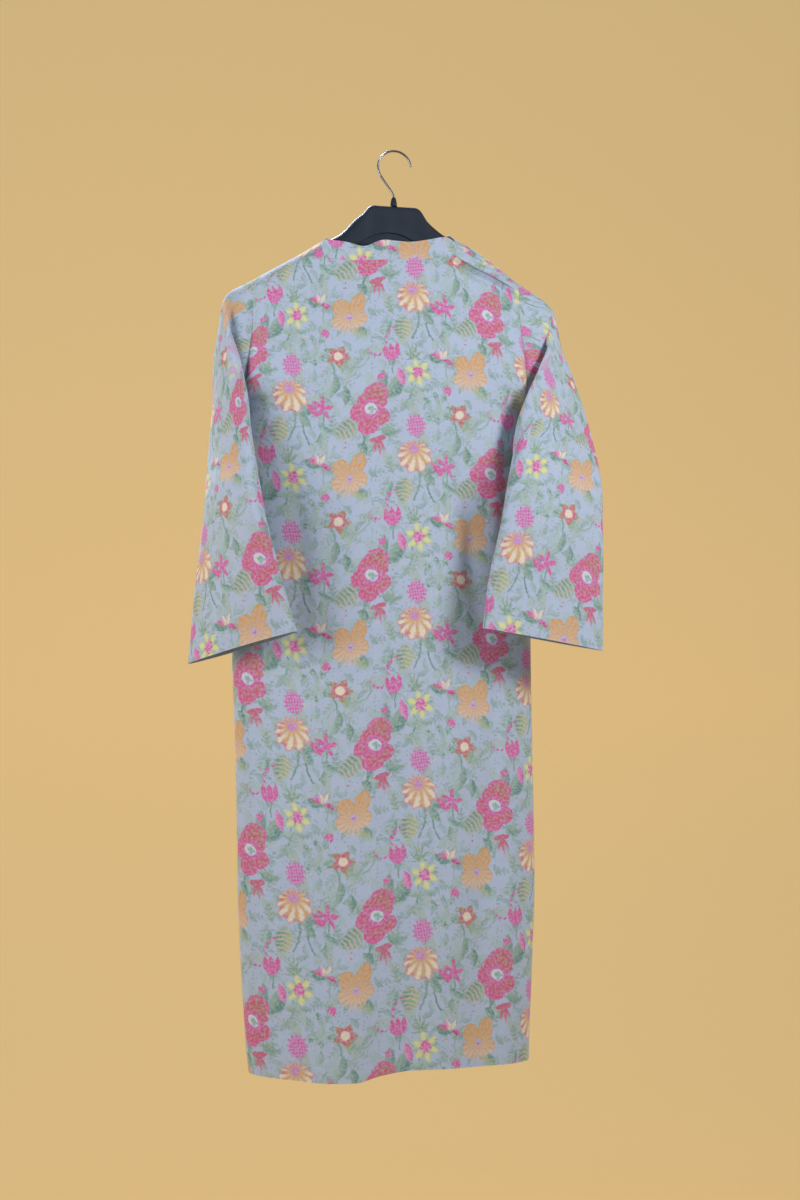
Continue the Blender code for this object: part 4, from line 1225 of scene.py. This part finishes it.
    def chrysanthemum(self, u, v):
        """A shaggy head of orange and cream petals, outlined in pink on one side."""
        x, y = self.local(u, v, 6, 0.0262, 0.0245)
        reach = self.reach(x, y)
        crown_y = y - 0.42
        crown = self.reach(x, crown_y)
        bent = self.math("MULTIPLY_ADD", self.angle(x, crown_y), 12.0, crown * 2.6)
        wave = self.math("SINE", self.math("MULTIPLY_ADD", self.mottle, 3.0, bent))
        rim = self.math("MULTIPLY_ADD", wave, 0.09, 0.93)
        shade = self.blend(self.step(wave, -0.7, 0.4), ORANGE, CREAM)
        shade = self.blend(self.step(crown, 0.72, 0.26), shade, ORANGE)
        shade = self.blend(self.step(rim - reach, 0.20, 0.05), shade, ROSE)
        warm = self.step(self.math("MULTIPLY_ADD", x, -0.30, reach), 0.62, 1.0)
        shade = self.blend(self.both(warm, self.step(wave, 0.6, -0.9)), shade, ROSE)
        shade = self.blend(self.step(crown, 0.34, 0.16), shade, self.blend(
            self.step(self.mottle, 0.42, 0.56), LILAC, MAGENTA))
        self.lay((rim - reach) * 7, shade)

    def cup(self, u, v, turn, wide, tall):
        """A cup of pointed petals."""
        x, y = self.local(u, v, turn, wide, tall)
        points = self.math("PINGPONG", x * 1.5 + 0.5, 0.5)
        room = self.math("MINIMUM", 1 - self.square(x, y), points + 0.25 - y)
        shade = self.blend(self.step(y + self.mottle, 0.0, 1.3), MAGENTA, FUCHSIA)
        shade = self.blend(self.both(self.step(points, 0.12, 0.0), 0.7), shade, PINK)
        self.lay(room * 5, shade)

    def daisy(self, u, v):
        """Ragged lemon petals about a pink middle."""
        x, y = self.local(u, v, 0, 0.0185, 0.0205)
        reach = self.math("MULTIPLY_ADD", self.mottle, 0.5, self.reach(x, y))
        petal = self.petals(self.angle(x, y), 6, 0.3)
        shade = self.blend(self.step(petal, 0.15, 0.5), LEMON, MOSS)
        self.lay(self.step(self.math("MULTIPLY_ADD", petal, 0.8, reach), 1.35, 1.1), shade)
        self.lay(self.step(reach, 0.70, 0.58), self.blend(
            self.step(self.mottle, 0.40, 0.62), MAGENTA, PINK))

    def thistle(self, u, v):
        """A ragged pink head made of small scales."""
        x, y = self.local(u, v, 8, 0.0150, 0.0178)
        angle = self.angle(x, y)
        rim = self.math("MULTIPLY_ADD", self.math("SINE", angle * 13), 0.13, 0.9)
        scales = self.math("SINE", (x + y) * 13) * self.math("SINE", (x - y) * 13)
        room = rim - self.reach(x, y)
        self.lay(room * 6, self.blend(
            self.step(scales + self.mottle * 1.6, -0.1, 0.9), LILAC, MAGENTA))

    def star(self, u, v, turn, wide, tall, number, sharp, heart, tip):
        """A flower of pointed petals."""
        x, y = self.local(u, v, turn, wide, tall)
        reach = self.reach(x, y)
        petal = self.petals(self.angle(x, y), number, 0.25)
        room = self.math("MULTIPLY_ADD", petal, -sharp, 1.0) - reach
        self.lay(room * 6, self.blend(
            self.step(reach + self.mottle, 0.9, 1.3), heart, tip))
        return reach

    def clump(self, u, v):
        """A tuft of upright leaves, striped light and dark."""
        x, y = self.local(u, v, 4, 0.0150, 0.0300)
        blade = self.petals(self.angle(x, y), 11, 0.25)
        room = self.math("MULTIPLY_ADD", blade, -1.3, 1.0) - self.reach(x, y)
        shade = self.blend(self.step(blade, 0.05, 0.3), SAGE, FERN)
        shade = self.blend(self.step(self.mottle, 0.42, 0.7), shade, MOSS)
        self.lay(room * 6 * (y > -0.05), shade)

    def vine(self, u, v, radius, turn):
        """A tendril that curls round, with small leaves along it."""
        x, y = self.local(u, v, turn, radius, radius)
        reach = self.reach(x, y)
        angle = self.angle(x, y)
        leaves = self.math("MAXIMUM", self.math("SINE", angle * 8), 0.0)
        bulge = self.math("MULTIPLY_ADD", leaves, 0.26, 0.07)
        room = bulge - abs(reach - 1)
        self.lay(room * 9 * (angle < 2.2), self.blend(
            self.step(self.mottle, 0.4, 0.65), FERN, MIST))

    def bouquet(self):
        """Everything that is printed, from the back layer to the front."""
        self.foliage((0.0, 0.0), 0.034, 0.0190, 0.0085, 0.55, MIST, MOSS)
        self.flecks((0.5, 0.5), 0.0062, 0.0009, 0.70)
        self.sprigs((0.5, 0.0), 0.030, 0.0160, 0.60, FERN, SAGE)
        self.foliage((0.0, 0.5), 0.0235, 0.0105, 0.0044, 0.60, FERN, MIST)
        for row in STEMS[1:]:
            self.stem(*row)
        self.vine(0.090, -0.002, 0.0180, 40)
        self.clump(0.058, 0.066)
        for row in LEAVES[1:]:
            self.leaf(*row)
        for row in BEADS[1:]:
            self.beads(*row)
        self.leaf(0.044, 0.026, 104, 0.030, 0.0066, 0.1, MAGENTA, PINK)
        self.leaf(0.096, -0.094, 128, 0.024, 0.0056, 0.3, MAGENTA, FUCHSIA)
        for row in BUTTERFLY_BUD[1:]:
            self.leaf(*row)
        self.cup(0.028, 0.078, 4, 0.0125, 0.0160)
        self.cup(0.105, 0.022, 150, 0.0060, 0.0075)
        self.cup(0.014, 0.044, 10, 0.0050, 0.0064)
        self.star(0.103, -0.080, 30, 0.0160, 0.0205, 5, 1.5, MAGENTA, FUCHSIA)
        centre = self.star(-0.044, 0.078, 10, 0.0190, 0.0180, 5, 0.85, ROSE, OLIVE)
        self.lay(self.step(centre, 0.38, 0.28), CREAM)
        self.thistle(0.061, -0.026)
        self.daisy(0.064, 0.047)
        self.chrysanthemum(0.059, -0.068)
        self.pansy(-0.029, -0.088)
        self.tassel(0.009, -0.042)
        self.poppy(0.0, 0.0)
        self.lay(self.step(self.mottle, 0.42, 0.95), GROUND)


def printed_cotton():
    """Printed cotton lawn: the print, a pale wrong side, weave, rumple and sewing, with painted
    shade along the seam and hem grooves.
    """
    cotton = Print("printed_cotton", Sheen_Weight=0.08, Sheen_Roughness=0.5,
                   Specular_IOR_Level=0.2)
    cotton.begin()
    cotton.bouquet()
    wrong = cotton.mark("wrong_side")
    colour = cotton.blend(wrong * 0.55, cotton.colour, GROUND)

    edge, seam, neck = (cotton.mark(k) for k in ("from_edge", "from_seam", "from_neck"))
    across = cotton.along(cotton.laid, (1, 0, 0))
    dash = cotton.math("PINGPONG", across, STITCH_PITCH) < STITCH_LENGTH
    hem_line = abs(edge - HEM_TURN + HEM_LINE) < THREAD_HALF
    neck_line = abs(neck - NECK_LINE) < THREAD_HALF
    thread = cotton.math("MAXIMUM", hem_line, neck_line) * dash
    hem_groove = cotton.soft(abs(edge - HEM_TURN + HEM_LINE), GROOVE_EDGE, GROOVE_HEART)
    seam_groove = cotton.soft(seam, SEAM_GROOVE, 0.0)
    groove = cotton.math("MAXIMUM", hem_groove, seam_groove)
    colour = cotton.blend(thread * 0.4, colour, GROUND)
    # painted shade: the cloth's colour is darkened a little along the seam and hem stitch grooves
    colour = cotton.blend(groove * 0.06, colour, DEEP_FERN)
    cotton.feed("Base Color", colour)

    warp, weft = [cotton.node(
        "TexWave", {"wave_type": "BANDS", "bands_direction": way},
        {"Vector": cotton.laid, "Scale": 420.0, "Distortion": 1.2, "Detail": 1.0}) for way in "XY"]
    rumple = cotton.speckle(cotton.laid, 22.0, 3.0)
    height = (warp + weft) * 0.03 + rumple * 1.1 - groove * 0.16
    bump = cotton.node("Bump", {}, {"Strength": 0.55, "Distance": 0.0011, "Height": height})
    cotton.feed("Normal", bump)
    cotton.feed("Roughness", cotton.mottle * 0.12 + 0.78)
    return cotton.material


def charcoal_plastic():
    """Moulded plastic with a satin skin, lightly scuffed."""
    plastic = Finish("charcoal_plastic", Specular_IOR_Level=0.22)
    where = plastic.node("TexCoord", {}, out=3)
    skin = plastic.speckle(where, 1800.0, 2.0)
    cloud = plastic.speckle(where, 38.0, 3.0)
    scuff = plastic.soft(plastic.speckle(where, 140.0, 6.0), 0.60, 0.72)
    shade = plastic.blend(plastic.step(cloud, 0.35, 0.7), dye(36, 45, 56), dye(42, 51, 63))
    plastic.feed("Base Color", plastic.blend(scuff * 0.12, shade, dye(84, 92, 104)))
    plastic.feed("Roughness", cloud * 0.12 + 0.44 + scuff * 0.1)
    plastic.feed("Normal", plastic.node(
        "Bump", {}, {"Strength": 0.2, "Distance": 0.00012, "Height": skin + cloud * 0.3}))
    return plastic.material


def bright_wire():
    """Chrome-plated wire with faint smears from handling."""
    wire = Finish("bright_wire", Metallic=1.0)
    where = wire.node("TexCoord", {}, out=3)
    smear = wire.speckle(where, 90.0, 4.0)
    wire.feed("Base Color", wire.blend(wire.step(smear, 0.4, 0.7), dye(150, 151, 156),
                                       dye(118, 120, 126)))
    wire.feed("Roughness", smear * 0.16 + 0.2)
    wire.feed("Normal", wire.node("Bump", {}, {
        "Strength": 0.15, "Distance": 0.0001, "Height": wire.speckle(where, 900.0, 2.0)}))
    return wire.material


def backdrop_paper():
    """Matt studio paper in a pale tan."""
    paper = Finish("backdrop_paper", roughness=0.95, Specular_IOR_Level=0.0,
                   Emission_Color=dye(212, 186, 135), Emission_Strength=0.563)
    where = paper.node("TexCoord", {}, out=3)
    grain = paper.speckle(where, 60.0, 4.0)
    paper.feed("Base Color", paper.blend(grain, dye(213, 182, 128), dye(211, 180, 126)))
    return paper.material


# ---- The hanger ----------------------------------------------------------------

def hanger_rings(around, steps):
    """Rounded sections of the hanger, stepped in under the lip at its middle."""
    rows = column(HANGER, "x")
    places = np.arange((len(rows) - 1) * steps + 1) / steps
    half = np.interp(places, np.arange(len(rows)), rows)
    x = np.concatenate([-half[:0:-1], half])
    top = arm_z(x)
    bottom = through(HANGER, "x", "bottom", np.abs(x))
    half_thick = through(HANGER, "x", "half_thick", np.abs(x))
    middle_y = ARM_FORWARD * (x / ARM_REACH) ** 2
    crown = np.minimum(half_thick, 0.85 * (top - bottom))
    waist = top - crown
    raised = HIGH_FLANK * np.exp(-((x - FLANK_X) / FLANK_WIDTH) ** 2)
    lip = LIP_TOP - LIP_FALL * ((x - LIP_X) / LIP_RUN) ** 2
    fall = np.clip((waist - lip) / (waist - bottom), 0.1, 0.9)[:, None]
    turn = np.linspace(math.pi / 2, 0, around // 4 + 1)[None]
    over = np.linspace(0, 1, around // 12 + 1)[None, 1:]
    under = np.sin(np.linspace(0, math.pi / 2, around // 6 + 1))[None]
    low = np.concatenate([fall * over, fall + (1 - fall) * under], axis=1)
    flank = (1 - low ** HANGER_EDGE) ** (1 / HANGER_EDGE)
    tuck = LIP_STEP / half_thick * (1 - smooth(np.abs(x), *LIP_ENDS))
    flank[:, over.size:] *= 1 - tuck[:, None]
    wide = np.concatenate([np.cos(turn) + 0 * waist[:, None], flank], axis=1)
    level = np.concatenate([(crown + raised)[:, None] * np.sin(turn),
                            -(waist - bottom)[:, None] * low], axis=1)
    y = np.concatenate([-wide, wide[:, -2:0:-1]], axis=1) * half_thick[:, None]
    z = np.concatenate([level, level[:, -2:0:-1]], axis=1) + waist[:, None]
    return np.stack([np.broadcast_to(x[:, None], z.shape), middle_y[:, None] + y, z], axis=-1)


def tube_mesh(name, rings):
    """A closed skin over rings of points, with a face at each end."""
    count, around = rings.shape[:2]
    points = rings.reshape(-1, 3).tolist()
    faces = []
    for ring in range(count - 1):
        for k in range(around):
            after = (k + 1) % around
            faces.append((ring * around + k, ring * around + after,
                          (ring + 1) * around + after, (ring + 1) * around + k))
    for first, order in ((0, -1), ((count - 1) * around, 1)):
        faces.append([first + k for k in range(around)][::order])
    mesh = bpy.data.meshes.new(name)
    mesh.from_pydata(points, [], faces)
    mesh.validate()
    mesh.shade_smooth()
    mesh.set_sharp_from_angle(angle=math.radians(38))
    return placed(name, mesh)


def hook_route():
    """The wire's centre line, from its tip over the rail and down into the hanger."""
    centre_z = WIRE_RADIUS - HOOK_RADIUS
    angles = np.linspace(HOOK_TIP, HOOK_LEAVE, 60)
    arc = np.stack([HOOK_RADIUS * np.cos(angles), 0 * angles,
                    centre_z + HOOK_RADIUS * np.sin(angles)], axis=-1)
    heading = np.array([-math.sin(HOOK_LEAVE), 0.0, math.cos(HOOK_LEAVE)])
    foot = np.array([STEM_X, 0.0, SOCKET_TOP + 0.001])
    down = np.array([0.0, 0.0, -1.0])
    length = np.linalg.norm(foot - arc[-1])
    shares = np.linspace(0, 1, 26)[1:, None]
    stem = ease(arc[-1], foot, heading * length, down * length * 0.55, shares)
    end = np.array([[STEM_X, 0.0, HANGER[1][1] + 2 * SEAM_GAP]])
    return np.concatenate([arc, stem, end])


def wire_hook():
    """The sprung wire, round in section, with a rounded tip."""
    route = hook_route()
    way = np.gradient(route, axis=0)
    way /= np.linalg.norm(way, axis=1)[:, None]
    side = np.array([0.0, 1.0, 0.0])
    up = np.cross(way, side)
    start = route[0] - way[0] * np.array([[0.0010], [0.0008], [0.0004]])
    route = np.concatenate([start, route])
    up = np.concatenate([np.repeat(up[:1], 3, axis=0), up])
    radius = np.concatenate([WIRE_RADIUS * np.array([0.45, 0.78, 0.95]),
                             np.full(len(route) - 3, WIRE_RADIUS)])
    angle = np.arange(20)[None, :, None] * math.tau / 20
    rings = route[:, None] + radius[:, None, None] * (
        np.cos(angle) * side + np.sin(angle) * up[:, None])
    return tube_mesh("wire_hook", rings)


def stem_socket():
    """The bullet-shaped socket that the wire turns in."""
    foot = HANGER[1][1] + SEAM_GAP
    height = SOCKET_TOP - foot
    shares = np.linspace(0.0, 1.0, 18)
    lip = SOCKET_BORE + 0.0006
    reach = lip + (SOCKET_RADIUS - lip) * shares ** 0.6
    reach = reach - 0.0004 * np.exp(-((shares - 0.9) / 0.05) ** 2)
    reach = np.concatenate([[SOCKET_BORE, SOCKET_BORE], reach])
    level = np.concatenate([[foot + 0.004, SOCKET_TOP], SOCKET_TOP - height * shares])
    angle = np.arange(40)[None, :] * math.tau / 40
    rings = np.stack([STEM_X + reach[:, None] * np.cos(angle), reach[:, None] * np.sin(angle),
                      level[:, None] + 0 * angle], axis=-1)
    return tube_mesh("stem_socket", rings)


# ---- Stage, light and camera ---------------------------------------------------

SENSOR = 24.0
FOCAL_STEPS = 1667          # focal length, in steps of which the frame is
FRAME_STEPS = 1200          # so many tall


def sweep(finish):
    """A plain floor that curves up into a plain wall behind."""
    floor_z, wall_y, bend = -2.05, 3.1, 1.3
    turn = np.linspace(0, math.pi / 2, 25)
    profile = [(-0.8, floor_z)]
    profile += [(wall_y - bend + bend * math.sin(a), floor_z + bend - bend * math.cos(a))
                for a in turn]
    profile += [(wall_y, 4.0)]
    points = [(x, y, z) for y, z in profile for x in (-6.0, 6.0)]
    faces = [(2 * k, 2 * k + 1, 2 * k + 3, 2 * k + 2) for k in range(len(profile) - 1)]
    mesh = bpy.data.meshes.new("paper_sweep")
    mesh.from_pydata(points, [], faces)
    mesh.shade_smooth()
    mesh.materials.append(finish)
    placed("paper_sweep", mesh)


def lamp(name, place, toward, size, power, colour=(1.0, 1.0, 1.0), spread=math.pi):
    """A soft square lamp turned to a point."""
    light = bpy.data.lights.new(name, "AREA")
    light.shape = "SQUARE"
    light.size = size
    light.energy = power
    light.color = colour
    light.spread = spread
    thing = placed(name, light)
    thing.location = place
    way = np.array(toward) - np.array(place)
    flat = math.hypot(way[0], way[1])
    thing.rotation_euler = (math.atan2(flat, -way[2]), 0.0, math.atan2(-way[0], way[1]))


def studio():
    """An even room, a soft lamp on the right, a fill on the left and one on the front."""
    world = bpy.data.worlds.new("studio_room")
    world.use_nodes = True
    room = world.node_tree.nodes["Background"]
    room.inputs["Color"].default_value = (0.95, 0.98, 1.04, 1.0)
    room.inputs["Strength"].default_value = 0.25
    bpy.context.scene.world = world
    lamp("key_lamp", (1.10, -1.15, 0.10), (0.0, 0.0, -0.60), 0.5, 17.0)
    lamp("fill_lamp", (-1.50, -0.95, -0.30), (-0.1, 0.0, -0.50), 0.9, 16.5)
    lamp("front_lamp", (-0.5, 1.9, 1.75), (0.0, 0.0, -0.60), 0.9, 13.0,
         (0.88, 0.95, 1.12), math.radians(55))
    bpy.context.scene.view_settings.view_transform = "Standard"


def viewpoint():
    """The camera: a little left of the tunic and below its middle, looking up slightly."""
    lens = bpy.data.cameras.new("viewpoint")
    lens.sensor_fit = "VERTICAL"
    lens.sensor_height = SENSOR
    lens.lens = SENSOR * FOCAL_STEPS / FRAME_STEPS
    eye = placed("viewpoint", lens)
    eye.location = (-0.4348, -2.2147, -0.7537)
    eye.rotation_euler = (math.radians(93.433), 0.0, math.radians(-11.3))
    bpy.context.scene.camera = eye


# ---- The whole tunic -----------------------------------------------------------

def fit(piece, node):
    """Attach a piece to the root body, and hide the CAD part that it stands for."""
    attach(piece, "root")
    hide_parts(node)


def dress():
    """Make every piece."""
    viewpoint()
    studio()
    sweep(backdrop_paper())

    cotton = printed_cotton()
    back = panel(-1, "back_cloth", cotton)
    front = panel(1, "front_cloth", cotton)
    left = sleeve(-1, SLEEVE_LEFT, "left_sleeve_cloth", cotton)
    right = sleeve(1, SLEEVE_RIGHT, "right_sleeve_cloth", cotton)
    band = neck_band("neck_band_cloth", cotton)
    for piece, node, flat, area in (
            (back, "back_panel", (0.452, 1.137), 0.4695),
            (front, "front_panel", (0.452, 1.167), 0.4674),
            (left, "sleeve_left", (0.408, 0.536), 0.1316),
            (right, "sleeve_right", (0.430, 0.575), 0.1544),
            (band, "collar_band", (0.589, 0.027), 0.0116)):
        fit(piece, node)

    plastic = charcoal_plastic()
    hanger = tube_mesh("moulded_hanger", hanger_rings(HANGER_AROUND, HANGER_STEPS))
    hanger.data.materials.append(plastic)
    fit(hanger, "hanger_body")
    bullet = stem_socket()
    bullet.data.materials.append(plastic)
    fit(bullet, "hook_socket")
    hook = wire_hook()
    hook.data.materials.append(bright_wire())
    fit(hook, "hanger_hook")


dress()
